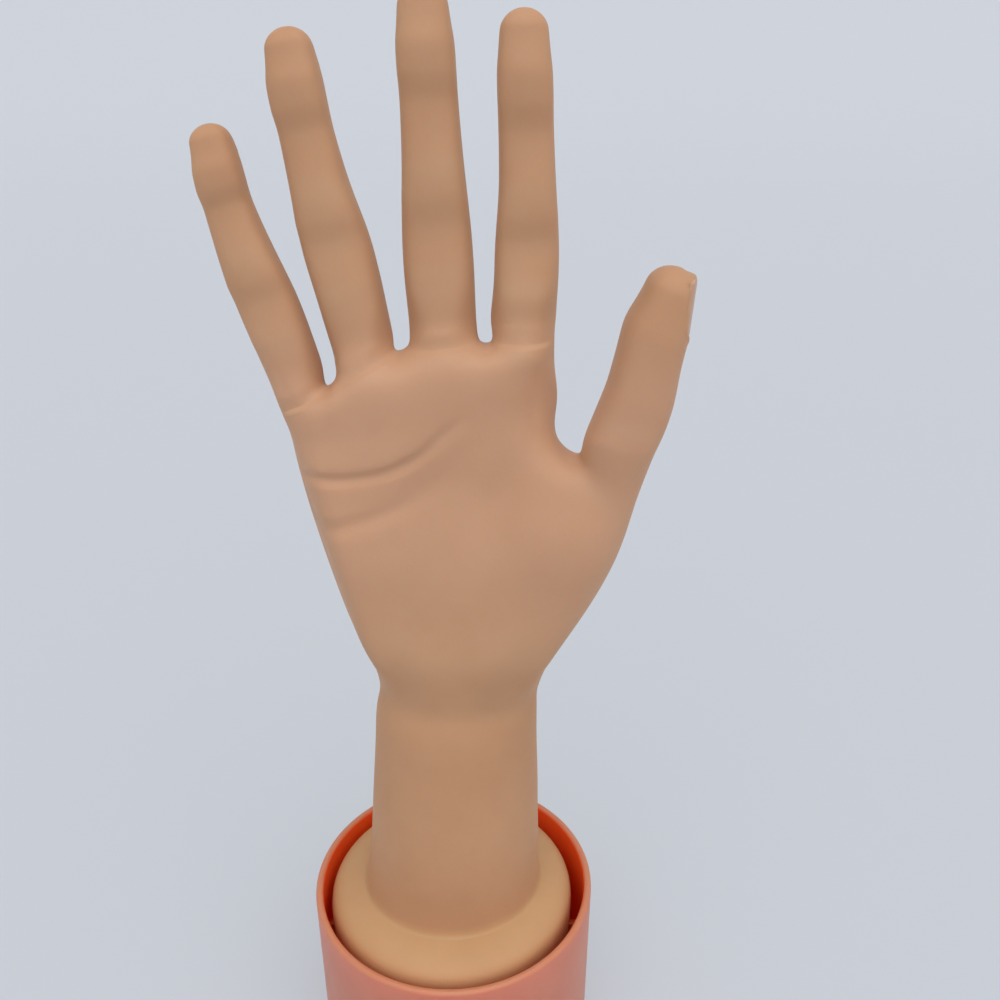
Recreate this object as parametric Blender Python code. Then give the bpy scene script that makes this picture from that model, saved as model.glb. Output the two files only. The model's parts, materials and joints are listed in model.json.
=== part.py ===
"""Hand mannequin with a jointed frame, standing in a cup. Metres, +Z up, palm to -Y, thumb to +X."""

import math

import bmesh
import bpy
import numpy as np
from mathutils import Matrix, Vector

MM = 0.001
SEAM = 0.2  # mm, half the gap between two lengths of skin at a joint
BORE_GAP = 0.4  # mm, between the frame and the bore it lies in
ROUND = 12  # sides of a pin or a bore
ARC = 6  # sides of a link's round end
EMPTY_SIZE = 5.0

# Cup
CUP_HEIGHT = 65.0
CUP_RADIUS = 45.3
CUP_FOOT_RADIUS = 45.0
CUP_WALL = 2.4
CUP_FLOOR = 3.0
CUP_EDGE = 1.2
CUP_SIDES = 64
RIB_TOP = 43.6
RIB_COUNT = 6
RIB_THICK = 2.2
RIB_START = 12.0  # from the cup's axis
RIB_SINK = 1.0  # into the floor

# Base plug, post and bolt
PLUG_LOW = 44.0
PLUG_HIGH = 54.0
PLUG_RADIUS = 35.0
POST_FOOT_LOW = 54.4
POST_FOOT_HIGH = 59.5
POST_FOOT_RADIUS = 15.0
BOLT_RADIUS = 4.0
BOLT_HEAD_RADIUS = 8.0
BOLT_HEAD_HIGH = 4.0
BOLT_TOP = 76.0
BOLT_GAP = 0.3
BOLT_EDGE = 0.7
BOLT_SIDES = 24
PLUG_EDGE = 2.0

# Wrist
WRIST = (3.0, 0.0, 142.0)
WRIST_BONE_WIDTH = 22.0
WRIST_BONE_RADIUS = 7.0
WRIST_PIN_RADIUS = 2.6
WRIST_EAR = 5.0  # each side of the fork
WRIST_GAP = 0.6
POST_SINK = 1.0
NECK_LENGTH = 14.0

# Skin below the wrist: height, centre x, half width, half depth
FLANGE_RINGS = (
    (44.6, 0.0, 39.2, 39.2),
    (51.0, 0.0, 39.7, 39.7),
    (58.0, 0.0, 39.8, 39.8),
    (61.6, 0.1, 38.8, 38.8),
    (63.4, 0.2, 36.0, 36.0),
    (64.6, 0.3, 31.8, 31.2),
    (68.0, 0.5, 28.7, 27.2),
)
FOREARM_RINGS = (
    (77.0, 0.7, 27.4, 24.9),
    (92.0, 0.9, 26.4, 23.0),
    (108.0, 1.4, 25.6, 21.0),
    (124.0, 1.8, 24.6, 19.0),
    (135.0, 2.2, 24.1, 17.6),
)
FOREARM_SIDES = 40
WRIST_RING = (142.0, 3.0, 23.5, 16.6)

# Palm rows: little-finger side (x, z), thumb side (x, z)
PALM_SIDES = (
    ((-21.9, 150.6), (29.3, 150.6)),
    ((-26.4, 162.0), (34.8, 162.0)),
    ((-30.5, 176.0), (45.0, 180.0)),
    ((-34.0, 190.5), (50.0, 206.0)),
    ((-36.7, 203.0), (43.5, 212.0)),
    ((-38.2, 211.5), (33.6, 218.4)),
    ((-39.2, 217.5), (29.4, 223.2)),
    ((-40.3, 226.0), (29.2, 232.0)),
)
# Depth of the palm and of the back at these shares of the width, from the little-finger side
DEPTH_AT = (0.08, 0.36, 0.64, 0.92)
PALM_DEPTH = (
    (-13.0, -18.5, -19.0, -14.0),
    (-15.0, -19.0, -20.5, -17.0),
    (-15.5, -16.5, -19.5, -20.0),
    (-14.6, -13.5, -15.5, -20.0),
    (-13.2, -12.0, -12.6, -17.6),
    (-11.8, -12.2, -12.0, -13.6),
    (-10.8, -12.8, -12.6, -11.0),
    (-9.8, -13.0, -12.8, -10.2),
)
BACK_DEPTH = (
    (10.0, 15.4, 15.4, 10.0),
    (9.4, 14.4, 14.6, 9.4),
    (8.6, 13.2, 13.6, 9.0),
    (8.2, 12.6, 13.0, 7.2),
    (8.2, 12.6, 13.0, 6.4),
    (8.6, 13.0, 13.4, 7.6),
    (9.0, 13.4, 13.8, 8.8),
    (9.4, 13.8, 14.2, 9.8),
)
SIDE_DEPTH = -1.5
PALM_ROW_UNDER_ROOT = 8.5

# Fingers: root and tip on the axis (x, z), depth of the axis, joints and rings by distance from the root.
# Rings: distance, half width, palm side, back side, shift towards the thumb.
FINGERS = {
    "index": {
        "root": (20.9, 247.0), "tip": (20.6, 323.4), "depth": 1.0, "bone": 1.0,
        "base": 6.5, "middle": 25.0, "end": 50.3, "webs": (246.2, 246.6), "sides": (8.3, 8.6),
        "rings": (
            (6.5, 8.2, 7.4, 7.8, 0.2), (15.5, 8.0, 8.0, 7.4, 0.8), (25.0, 7.8, 6.5, 7.6, 1.0),
            (37.5, 6.9, 7.0, 6.3, 1.0), (50.3, 6.5, 5.6, 5.7, 0.6), (63.0, 6.4, 6.3, 4.9, 0.2),
            (71.2, 5.6, 4.7, 4.1, 0.0), (75.7, 3.0, 2.3, 2.6, 0.0),
        ),
    },
    "middle": {
        "root": (0.8, 246.4), "tip": (-2.2, 328.5), "depth": 2.0, "bone": 1.0,
        "base": 6.5, "middle": 29.2, "end": 57.5, "webs": (244.8, 246.2), "sides": (9.4, 9.9),
        "rings": (
            (6.5, 8.5, 7.6, 8.0, 0.1), (18.0, 8.7, 8.2, 7.6, 0.0), (29.2, 8.4, 6.7, 7.9, 0.0),
            (43.4, 7.4, 7.2, 6.6, 0.1), (57.5, 6.8, 5.8, 5.9, 0.1), (69.5, 6.7, 6.5, 5.1, 0.0),
            (77.0, 5.8, 4.9, 4.3, 0.0), (81.0, 3.2, 2.4, 2.7, 0.0),
        ),
    },
    "ring": {
        "root": (-19.0, 241.5), "tip": (-32.6, 319.6), "depth": 1.0, "bone": 0.95,
        "base": 6.5, "middle": 31.0, "end": 56.6, "webs": (236.2, 244.8), "sides": (8.0, 8.2),
        "rings": (
            (6.5, 8.0, 7.2, 7.6, 0.1), (18.8, 8.3, 7.8, 7.2, 0.0), (31.0, 8.4, 6.4, 7.5, -0.5),
            (43.8, 7.1, 6.8, 6.2, -1.0), (56.6, 6.4, 5.5, 5.6, -1.2), (67.8, 6.4, 6.2, 4.8, -1.0),
            (74.4, 5.5, 4.6, 4.0, -0.6), (78.2, 3.0, 2.3, 2.5, -0.4),
        ),
    },
    "little": {
        "root": (-35.4, 232.5), "tip": (-52.9, 299.2), "depth": -1.0, "bone": 0.85,
        "base": 6.5, "middle": 26.5, "end": 50.2, "webs": (230.0, 236.0), "sides": (7.0, 6.9),
        "rings": (
            (6.5, 7.3, 6.6, 7.0, 0.2), (16.5, 7.3, 7.0, 6.6, 0.0), (26.5, 7.4, 5.8, 6.8, -0.5),
            (38.4, 6.6, 6.1, 5.6, -1.1), (50.2, 5.8, 5.0, 5.1, -1.3), (59.2, 5.7, 5.6, 4.4, -0.6),
            (64.8, 4.9, 4.2, 3.7, 0.0), (68.0, 2.7, 2.1, 2.3, 0.2),
        ),
    },
}
ROOT_PALM_SIDE = 12.6
ROOT_BACK_SIDE = 8.6
ROOT_BACK_DROP = 4.0
ROOT_SIDE_SHARE = 0.7  # of that drop, beside the middle of the finger
ROOT_NARROW = 0.9
ROOT_SQUARE_BACK = 0.06  # how much squarer than a finger ring the root is
ROOT_SQUARE_PALM = 0.14
BACK_ROW_UNDER_ROOT = 10.0

# Thumb: axis start and direction (x, z), depth of the axis. Rings: as above, with pad side and nail side.
THUMB = {
    "start": (45.2, 220.0), "way": (11.0, 46.0), "depth": -12.0, "bone": 1.15, "base": 4.0, "end": 18.5,
    "length": 50.2,
    "rings": (
        (4.0, 9.5, 9.7, 8.0, 0.0), (11.2, 9.5, 9.0, 8.8, 0.0), (18.5, 9.6, 8.3, 8.8, 0.0),
        (27.0, 9.2, 8.4, 7.8, 0.0), (35.5, 8.9, 8.5, 7.1, 0.0), (43.6, 7.6, 6.5, 5.6, 0.0),
        (48.6, 4.6, 3.6, 4.2, 0.0),
    ),
}
# Where the thumb leaves the palm, from the web round the front: x, depth, z
THUMB_HOLE = {
    "top": (34.6, -8.0, 219.4), "front_top": (37.0, -16.2, 216.0), "front": (42.6, -20.8, 210.5),
    "front_low": (47.6, -18.0, 203.5), "low": (49.5, -10.0, 203.5), "back_low": (47.6, -1.2, 204.0),
    "back": (42.6, 1.6, 209.5), "back_top": (37.0, 0.4, 215.0),
}

# Frame links
BONE_WIDTH = 6.6
BONE_RADIUS = 3.2
TONGUE = 2.9
SLOT = 3.5
SHOULDER = 1.0  # room round a link's end, so that the next one can fold
PIN_RADIUS = 1.0
PIN_HOLE = 1.1
TIP_BONE_SHARE = 0.62  # of the last length
TIP_BONE_TAPER = 0.62
BORE_PAST = 8.0  # how far a bore runs past a length of skin, to leave its end open

# Palm frame outline, x and z
PALM_FRAME = (
    (-8.0, 151.0), (14.0, 151.0), (33.0, 194.0), (31.0, 205.0), (22.6, 224.0), (21.6, 236.0), (-2.0, 238.0),
    (-20.0, 232.0), (-34.0, 222.0), (-30.0, 196.0),
)
PALM_FRAME_DEPTH = (-3.4, 4.4)
STUB_LENGTH = 16.0
THUMB_ARM_START = (24.0, 0.5, 200.0)
THUMB_ARM_HALF = (4.0, 3.4)
THUMB_ARM_LAP = 2.5

# Nails
NAIL_THICK = 0.9
NAIL_GAP = 0.3
NAIL_BEND = 0.62
NAIL_ROUND = 1.6
NAIL_CLEAR = 5.0
NAILS = {"index": (9.4, 10.8), "middle": (9.8, 11.4), "ring": (9.2, 10.6), "little": (7.8, 8.8)}
NAIL_PROUD = (0.25, 0.9)  # over the back of the finger, at the root and at the tip
NAIL_SHORT = 1.6  # of the fingertip
THUMB_NAIL = (12.6, 14.6)
THUMB_NAIL_TOP = (7.4, 4.9)  # height over the thumb's axis, at the root and at the tip
THUMB_NAIL_SHORT = 0.9
NAIL_STEPS = (6, 5)  # across and along

MATERIALS = {
    "skin": (0.56, 0.30, 0.18),
    "nail": (0.70, 0.46, 0.36),
    "frame": (0.82, 0.82, 0.80),
    "pin": (0.60, 0.60, 0.62),
    "cup": (0.62, 0.16, 0.09),
    "plug": (0.25, 0.25, 0.27),
}


def clear_scene():
    for obj in list(bpy.data.objects):
        bpy.data.objects.remove(obj, do_unlink=True)


def material(name):
    found = bpy.data.materials.get(name)
    if found:
        return found
    made = bpy.data.materials.new(name)
    made.use_nodes = True
    shader = made.node_tree.nodes["Principled BSDF"]
    shader.inputs["Base Color"].default_value = (*MATERIALS[name], 1.0)
    shader.inputs["Roughness"].default_value = 0.5
    return made


def object_from(mesh, name, slot=None):
    obj = bpy.data.objects.new(name, mesh)
    bpy.context.scene.collection.objects.link(obj)
    if slot:
        mesh.materials.clear()
        mesh.materials.append(material(slot))
    return obj


def mesh_from_bmesh(bm, name):
    bmesh.ops.recalc_face_normals(bm, faces=bm.faces)
    mesh = bpy.data.meshes.new(name)
    bm.to_mesh(mesh)
    bm.free()
    return mesh


def solid(name, points, faces, slot=None):
    """An object from points in millimetres."""
    bm = bmesh.new()
    made = [bm.verts.new(Vector(p) * MM) for p in points]
    for face in faces:
        bm.faces.new([made[i] for i in face])
    return object_from(mesh_from_bmesh(bm, name), name, slot)


def prism(name, outline, low, high, place, slot=None):
    """An outline of local (y, z) pushed along local x from low to high, then placed."""
    count = len(outline)
    points = [place @ Vector((low, y, z)) for y, z in outline]
    points += [place @ Vector((high, y, z)) for y, z in outline]
    faces = [list(range(count)), list(range(count, 2 * count))]
    faces += [[i, (i + 1) % count, count + (i + 1) % count, count + i] for i in range(count)]
    return solid(name, points, faces, slot)


def circle(radius, count=ROUND, centre=(0.0, 0.0), start=0.0):
    turn = 2 * math.pi / count
    return [
        (centre[0] + radius * math.cos(start + turn * i), centre[1] + radius * math.sin(start + turn * i))
        for i in range(count)
    ]


def box_outline(half_y, low_z, high_z):
    return [(-half_y, low_z), (half_y, low_z), (half_y, high_z), (-half_y, high_z)]


def boolean(target, cutter, operation):
    """Applies an exact Boolean and removes the other object."""
    step = target.modifiers.new("cut", "BOOLEAN")
    step.operation = operation
    step.solver = "EXACT"
    step.object = cutter
    graph = bpy.context.evaluated_depsgraph_get()
    mesh = bpy.data.meshes.new_from_object(target.evaluated_get(graph))
    target.modifiers.remove(step)
    slots = list(target.data.materials)
    target.data = mesh
    mesh.materials.clear()
    for slot in slots:
        mesh.materials.append(slot)
    bpy.data.objects.remove(cutter, do_unlink=True)


def cut(target, cutter):
    boolean(target, cutter, "DIFFERENCE")


def join(target, other):
    boolean(target, other, "UNION")


def frame_at(origin, across, along):
    """A frame in millimetres: x along the hinge, z along the link, y to the back of the hand."""
    z = Vector(along).normalized()
    x = (Vector(across) - z * z.dot(Vector(across))).normalized()
    y = z.cross(x)
    turn = Matrix((x, y, z)).transposed().to_4x4()
    return Matrix.Translation(origin) @ turn


def finger_frame(name, distance):
    """Frame of a finger or of the thumb at a distance along its axis."""
    if name == "thumb":
        start = Vector((THUMB["start"][0], THUMB["depth"], THUMB["start"][1]))
        way = Vector((THUMB["way"][0], 0.0, THUMB["way"][1])).normalized()
        return frame_at(start + way * distance, (0.0, -1.0, 0.0), way)
    data = FINGERS[name]
    start = Vector((data["root"][0], data["depth"], data["root"][1]))
    way = Vector((data["tip"][0] - data["root"][0], 0.0, data["tip"][1] - data["root"][1])).normalized()
    return frame_at(start + way * distance, (1.0, 0.0, 0.0), way)


def finger_length(name):
    if name == "thumb":
        return THUMB["length"]
    data = FINGERS[name]
    return math.hypot(data["tip"][0] - data["root"][0], data["tip"][1] - data["root"][1])


# The skin is a subdivision surface through named rings. Ring points run from the thumb side over the back.
TIP_ANGLES = (38.0, 68.0)  # of the rings in a fingertip's round end
CORNER = 0.76
RING_SHAPE = (
    (1.0, 0.0), (CORNER, CORNER), (0.0, 1.0), (-CORNER, CORNER),
    (-1.0, 0.0), (-CORNER, -CORNER), (0.0, -1.0), (CORNER, -CORNER),
)
COLUMNS = 26
LOOSE_PULL = 0.12  # how hard the webs are drawn to their points
FINGER_ORDER = ("index", "middle", "ring", "little")


class Cage:
    def __init__(self):
        self.points = []
        self.faces = []
        self.zones = []
        self.loose = set()

    def add(self, point, loose=False):
        self.points.append(tuple(point))
        if loose:
            self.loose.add(len(self.points) - 1)
        return len(self.points) - 1

    def face(self, corners, zone):
        self.faces.append(tuple(corners))
        self.zones.append(zone)

    def bridge(self, low, high, zone, skip=()):
        count = len(low)
        for i in range(count):
            if i not in skip:
                j = (i + 1) % count
                self.face((low[i], low[j], high[j], high[i]), zone)


def root_ring(cage, name):
    """The eight points where a finger leaves the palm."""
    data = FINGERS[name]
    x, z = data["root"]
    ring = []
    for side, depth in RING_SHAPE:
        half = data["sides"][1] if side > 0 else data["sides"][0]
        web = data["webs"][1] if side > 0 else data["webs"][0]
        if depth == 0.0:
            ring.append(cage.add((x + side * half, data["depth"] - 1.0, web), True))
        elif depth > 0.0:
            y = data["depth"] + ROOT_BACK_SIDE * min(1.0, depth + ROOT_SQUARE_BACK)
            drop = ROOT_BACK_DROP if side == 0.0 else ROOT_BACK_DROP * ROOT_SIDE_SHARE
            ring.append(cage.add((x + ROOT_NARROW * side * half, y, z - drop), True))
        else:
            y = data["depth"] - ROOT_PALM_SIDE * min(1.0, ROOT_SQUARE_PALM - depth)
            lift = (web - z) * 0.5 * abs(side)
            ring.append(cage.add((x + ROOT_NARROW * side * half, y, z + lift), True))
    return ring


def oval_ring(cage, height, centre, half_x, half_y):
    turn = 2 * math.pi / COLUMNS
    return [
        cage.add((centre + half_x * math.cos(turn * k), half_y * math.sin(turn * k), height))
        for k in range(COLUMNS)
    ]


def root_height(x):
    """Height of the line on which the fingers start."""
    roots = sorted(data["root"] for data in FINGERS.values())
    return np.interp(x, [root[0] for root in roots], [root[1] for root in roots])


def palm_row(cage, row, roots):
    """One row of 26 points: thumb side, back, little-finger side, palm."""
    (low_x, low_z), (high_x, high_z) = PALM_SIDES[row]
    share = (row + 1) / (len(PALM_SIDES) + 1)
    left = cage.points[roots[13]][0]
    right = cage.points[roots[0]][0]
    ring = []
    for k in range(COLUMNS):
        if k in (0, 13):
            x, z = (high_x, high_z) if k == 0 else (low_x, low_z)
            ring.append(cage.add((x, SIDE_DEPTH, z)))
            continue
        even = 0.5 + 0.5 * math.cos(2 * math.pi * k / COLUMNS)
        top = (cage.points[roots[k]][0] - left) / (right - left)
        across = even + (top - even) * share
        depths = BACK_DEPTH[row] if k < 13 else PALM_DEPTH[row]
        depth = np.interp(across, (0.0, *DEPTH_AT, 1.0), (SIDE_DEPTH, *depths, SIDE_DEPTH))
        x = low_x + (high_x - low_x) * across
        z = low_z + (high_z - low_z) * across
        if row == len(PALM_SIDES) - 1:
            z = root_height(x) - (BACK_ROW_UNDER_ROOT if k < 13 else PALM_ROW_UNDER_ROOT)
        ring.append(cage.add((x, depth, z)))
    return ring


def domed(rings, length):
    """The rings, and a round end on the last of them."""
    last = rings[-1]
    made = list(rings)
    for angle in TIP_ANGLES:
        rise = math.sin(math.radians(angle)) * (length - last[0])
        size = math.cos(math.radians(angle))
        made.append((last[0] + rise, *(size * value for value in last[1:4]), last[4]))
    return made


def finger_tube(cage, name, ring, rings, zone_of):
    """Rings of eight points from the root ring to the closed tip."""
    for distance, half, palm_side, back_side, shift in rings:
        place = finger_frame(name, distance)
        above = []
        for side, depth in RING_SHAPE:
            deep = back_side if depth > 0 else palm_side
            above.append(cage.add(place @ Vector((side * half + shift, depth * deep, 0.0))))
        cage.bridge(ring, above, zone_of(distance))
        ring = above
    zone = zone_of(finger_length(name))
    cage.face((ring[0], ring[1], ring[2], ring[3]), zone)
    cage.face((ring[0], ring[3], ring[4], ring[7]), zone)
    cage.face((ring[4], ring[5], ring[6], ring[7]), zone)


def hand_cage():
    cage = Cage()
    rings = {name: root_ring(cage, name) for name in FINGER_ORDER}
    roots = [rings["index"][0]]
    for name in FINGER_ORDER:
        roots += [rings[name][1], rings[name][2], rings[name][3]]
    roots.append(rings["little"][4])
    for name in reversed(FINGER_ORDER):
        roots += [rings[name][5], rings[name][6], rings[name][7]]
    below = None
    for height, centre, half_x, half_y in FLANGE_RINGS + FOREARM_RINGS + (WRIST_RING,):
        ring = oval_ring(cage, height, centre, half_x, half_y)
        if below:
            cage.bridge(below, ring, "forearm")
        below = ring
    hole = {}
    thumb_rows = {
        3: ("front_low", "low", "back_low"), 4: ("front", None, "back"), 5: ("front_top", "top", "back_top"),
    }
    for row in range(len(PALM_SIDES)):
        ring = palm_row(cage, row, roots)
        if row in thumb_rows:
            for k, where in zip((25, 0, 1), thumb_rows[row]):
                if where:
                    cage.points[ring[k]] = THUMB_HOLE[where]
                    cage.loose.add(ring[k])
                    hole[where] = ring[k]
        cage.bridge(below, ring, "palm", skip=(0, 25) if row in (4, 5) else ())
        below = ring
    cage.bridge(below, roots, "palm")
    for near, far in zip(FINGER_ORDER, FINGER_ORDER[1:]):
        a, b = rings[near], rings[far]
        cage.face((b[1], b[0], a[4], a[3]), "palm")
        cage.face((b[0], b[7], a[5], a[4]), "palm")
    for name in FINGER_ORDER:
        data = FINGERS[name]
        stops = (
            (data["base"], "palm"), (data["middle"], name + "_proximal"), (data["end"], name + "_middle"),
        )
        tube = domed(data["rings"][:-1], finger_length(name))
        finger_tube(cage, name, rings[name], tube, zone_picker(stops, name + "_distal"))
    order = ("front", "front_low", "low", "back_low", "back", "back_top", "top", "front_top")
    stops = ((THUMB["base"], "palm"), (THUMB["end"], "thumb_proximal"))
    tube = domed(THUMB["rings"][:-1], THUMB["length"])
    finger_tube(cage, "thumb", [hole[k] for k in order], tube, zone_picker(stops, "thumb_distal"))
    return drop_loose(cage)


def zone_picker(stops, last):
    def pick(distance):
        for stop, zone in stops:
            if distance <= stop + 0.01:
                return zone
        return last
    return pick


def drop_loose(cage):
    """Leaves out points that no face uses, such as the one inside the thumb's root."""
    used = sorted({i for face in cage.faces for i in face})
    place = {old: new for new, old in enumerate(used)}
    cage.points = [cage.points[i] for i in used]
    cage.faces = [tuple(place[i] for i in face) for face in cage.faces]
    cage.loose = {place[i] for i in cage.loose if i in place}
    return cage


def fitted(cage, rounds=6):
    """Moves the control points until the smooth surface passes through the points given."""
    target = np.array(cage.points)
    count = len(target)
    edges = {}
    diagonals = [[] for _ in range(count)]
    for face in cage.faces:
        for i in range(4):
            a, b = face[i], face[(i + 1) % 4]
            edges[(min(a, b), max(a, b))] = edges.get((min(a, b), max(a, b)), 0) + 1
            diagonals[a].append(face[(i + 2) % 4])
    near = [[] for _ in range(count)]
    border = [[] for _ in range(count)]
    for (a, b), uses in edges.items():
        near[a].append(b)
        near[b].append(a)
        if uses == 1:
            border[a].append(b)
            border[b].append(a)
    weights = np.zeros((count, count))
    for i in range(count):
        if border[i]:
            weights[i, i] = 4 / 6
            weights[i, border[i]] = 1 / 6
            continue
        n = len(near[i])
        weights[i, i] = n * n / (n * (n + 5))
        for j in near[i]:
            weights[i, j] += 4 / (n * (n + 5))
        for j in diagonals[i]:
            weights[i, j] += 1 / (n * (n + 5))
    control = target.copy()
    pull = np.full((count, 1), 0.9)
    pull[sorted(cage.loose)] = LOOSE_PULL
    for _ in range(rounds):
        control += pull * (target - weights @ control)
    return control


def smooth_skin(cage, levels):
    """The subdivided surface as an object, its faces still marked with their zones."""
    names = sorted(set(cage.zones))
    mesh = bpy.data.meshes.new("skin_surface")
    mesh.from_pydata([Vector(p) * MM for p in fitted(cage)], [], cage.faces)
    mark = mesh.attributes.new("zone", "INT", "FACE")
    for item, zone in zip(mark.data, cage.zones):
        item.value = names.index(zone)
    obj = object_from(mesh, "skin_surface")
    step = obj.modifiers.new("smooth", "SUBSURF")
    step.levels = levels
    step.render_levels = levels
    graph = bpy.context.evaluated_depsgraph_get()
    fine = bpy.data.meshes.new_from_object(obj.evaluated_get(graph))
    bpy.data.objects.remove(obj, do_unlink=True)
    return fine, names


def boundary_loops(bm):
    left = {edge for edge in bm.edges if edge.is_boundary}
    loops = []
    while left:
        edge = left.pop()
        first, at = edge.verts
        loop = [first, at]
        while True:
            step = next((e for e in at.link_edges if e in left), None)
            if step is None:
                break
            left.discard(step)
            at = step.other_vert(at)
            if at is first:
                break
            loop.append(at)
        loops.append(loop)
    return loops


def skin_length(fine, names, zone, seams, slot="skin"):
    """One closed length of skin. Each open end is laid flat on its seam, a little short of it."""
    bm = bmesh.new()
    bm.from_mesh(fine)
    mark = bm.faces.layers.int["zone"]
    wanted = names.index(zone)
    bmesh.ops.delete(bm, geom=[f for f in bm.faces if f[mark] != wanted], context="FACES")
    middle = sum((v.co for v in bm.verts), Vector()) / len(bm.verts)
    for loop in boundary_loops(bm):
        centre = sum((v.co for v in loop), Vector()) / len(loop)
        point, way = min(seams, key=lambda seam: (seam[0] - centre).length)
        inward = way if way.dot(middle - point) > 0 else -way
        for v in loop:
            v.co += way * (point - v.co).dot(way) + inward * SEAM * MM
        bm.faces.new(loop)
    return object_from(mesh_from_bmesh(bm, zone + "_skin"), zone + "_skin", slot)


def stadium(radius, low, high, steps=ARC):
    """Outline of a link seen from the side, round about both pins."""
    outline = [
        (radius * math.cos(math.pi * i / steps), high + radius * math.sin(math.pi * i / steps))
        for i in range(steps + 1)
    ]
    outline += [
        (-radius * math.cos(math.pi * i / steps), low - radius * math.sin(math.pi * i / steps))
        for i in range(steps + 1)
    ]
    return outline


def drill(target, place, radius, half, height=0.0):
    cut(target, prism("drill", circle(radius, centre=(0.0, height)), -half, half, place))


def make_tongue(target, place, scale):
    """Leaves only a middle tongue round the near pin."""
    clear = (BONE_RADIUS + SHOULDER) * scale
    for side in (-1, 1):
        low, high = sorted((side * TONGUE / 2 * scale, side * BONE_WIDTH * scale))
        cut(target, prism("side", circle(clear, 16), low, high, place))
    drill(target, place, PIN_HOLE * scale, BONE_WIDTH * scale)


def make_fork(target, place, scale, height):
    """Slots the far end for the next tongue."""
    clear = (BONE_RADIUS + SHOULDER) * scale
    half = SLOT / 2 * scale
    cut(target, prism("slot", circle(clear, 16, (0.0, height)), -half, half, place))
    drill(target, place, PIN_HOLE * scale, BONE_WIDTH * scale, height)


def link(name, place, scale, length):
    """A frame link with a tongue at the near pin and a fork at the far one."""
    half = BONE_WIDTH / 2 * scale
    obj = prism(name, stadium(BONE_RADIUS * scale, 0.0, length), -half, half, place, "frame")
    make_tongue(obj, place, scale)
    make_fork(obj, place, scale, length)
    return obj


def end_link(name, place, scale, length):
    """The last link, with a tongue and a blunt tip."""
    radius = BONE_RADIUS * scale
    half = BONE_WIDTH / 2 * scale
    outline = stadium(radius, 0.0, 0.0)[ARC + 1:]
    outline += [(radius, 0.0), (radius * TIP_BONE_TAPER, length), (-radius * TIP_BONE_TAPER, length)]
    outline = [p for i, p in enumerate(outline) if i == 0 or math.dist(p, outline[i - 1]) > 0.01]
    if math.dist(outline[0], outline[-1]) < 0.01:
        outline.pop()
    obj = prism(name, outline, -half, half, place, "frame")
    make_tongue(obj, place, scale)
    return obj


def pin(name, place, radius, half):
    return prism(name, circle(radius), -half, half, place, "pin")


def bore(target, place, scale, low, high):
    half_x = BONE_WIDTH / 2 * scale + BORE_GAP
    half_y = BONE_RADIUS * scale + BORE_GAP
    cut(target, prism("bore", box_outline(half_y, low, high), -half_x, half_x, place))


def nail_solid(name, place, width, length, top, slot=None, bed=False):
    """A plate bent across and a little along. The bed is the same shape, larger and open above."""
    across, along = NAIL_STEPS
    grow = NAIL_GAP if bed else 0.0
    points = []
    faces = []
    for layer in (0, 1):
        for i in range(along + 1):
            share = i / along
            wide = 0.86 + 0.28 * share if share < 0.5 else 1.0 - 0.3 * (share - 0.5)
            half = width / 2 * wide + grow
            for j in range(across + 1):
                bend = 2.0 * j / across - 1.0
                near = -grow + NAIL_ROUND * bend * bend
                far = length + grow - NAIL_ROUND * bend * bend
                z = near + (far - near) * share
                height = top[0] + (top[1] - top[0]) * z / length - NAIL_BEND * (half * bend) ** 2 / width
                if layer:
                    height += NAIL_CLEAR if bed else 0.0
                else:
                    height -= NAIL_THICK + grow
                points.append(place @ Vector((half * bend, height, z)))
    row = across + 1
    sheet = row * (along + 1)
    for i in range(along):
        for j in range(across):
            a = i * row + j
            faces.append((a, a + 1, a + row + 1, a + row))
            faces.append((sheet + a, sheet + a + row, sheet + a + row + 1, sheet + a + 1))
    rim = [j for j in range(row)]
    rim += [i * row + across for i in range(1, along + 1)]
    rim += [along * row + j for j in range(across - 1, -1, -1)]
    rim += [i * row for i in range(along - 1, 0, -1)]
    for a, b in zip(rim, rim[1:] + rim[:1]):
        faces.append((a, b, sheet + b, sheet + a))
    return solid(name, points, faces, slot)


def add_nail(finger, skin, size, start, top):
    width, length = size
    place = finger_frame(finger, start)
    cut(skin, nail_solid("bed", place, width, length, top, bed=True))
    nail_solid(finger + "_nail", place, width, length, top, "nail")


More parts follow.
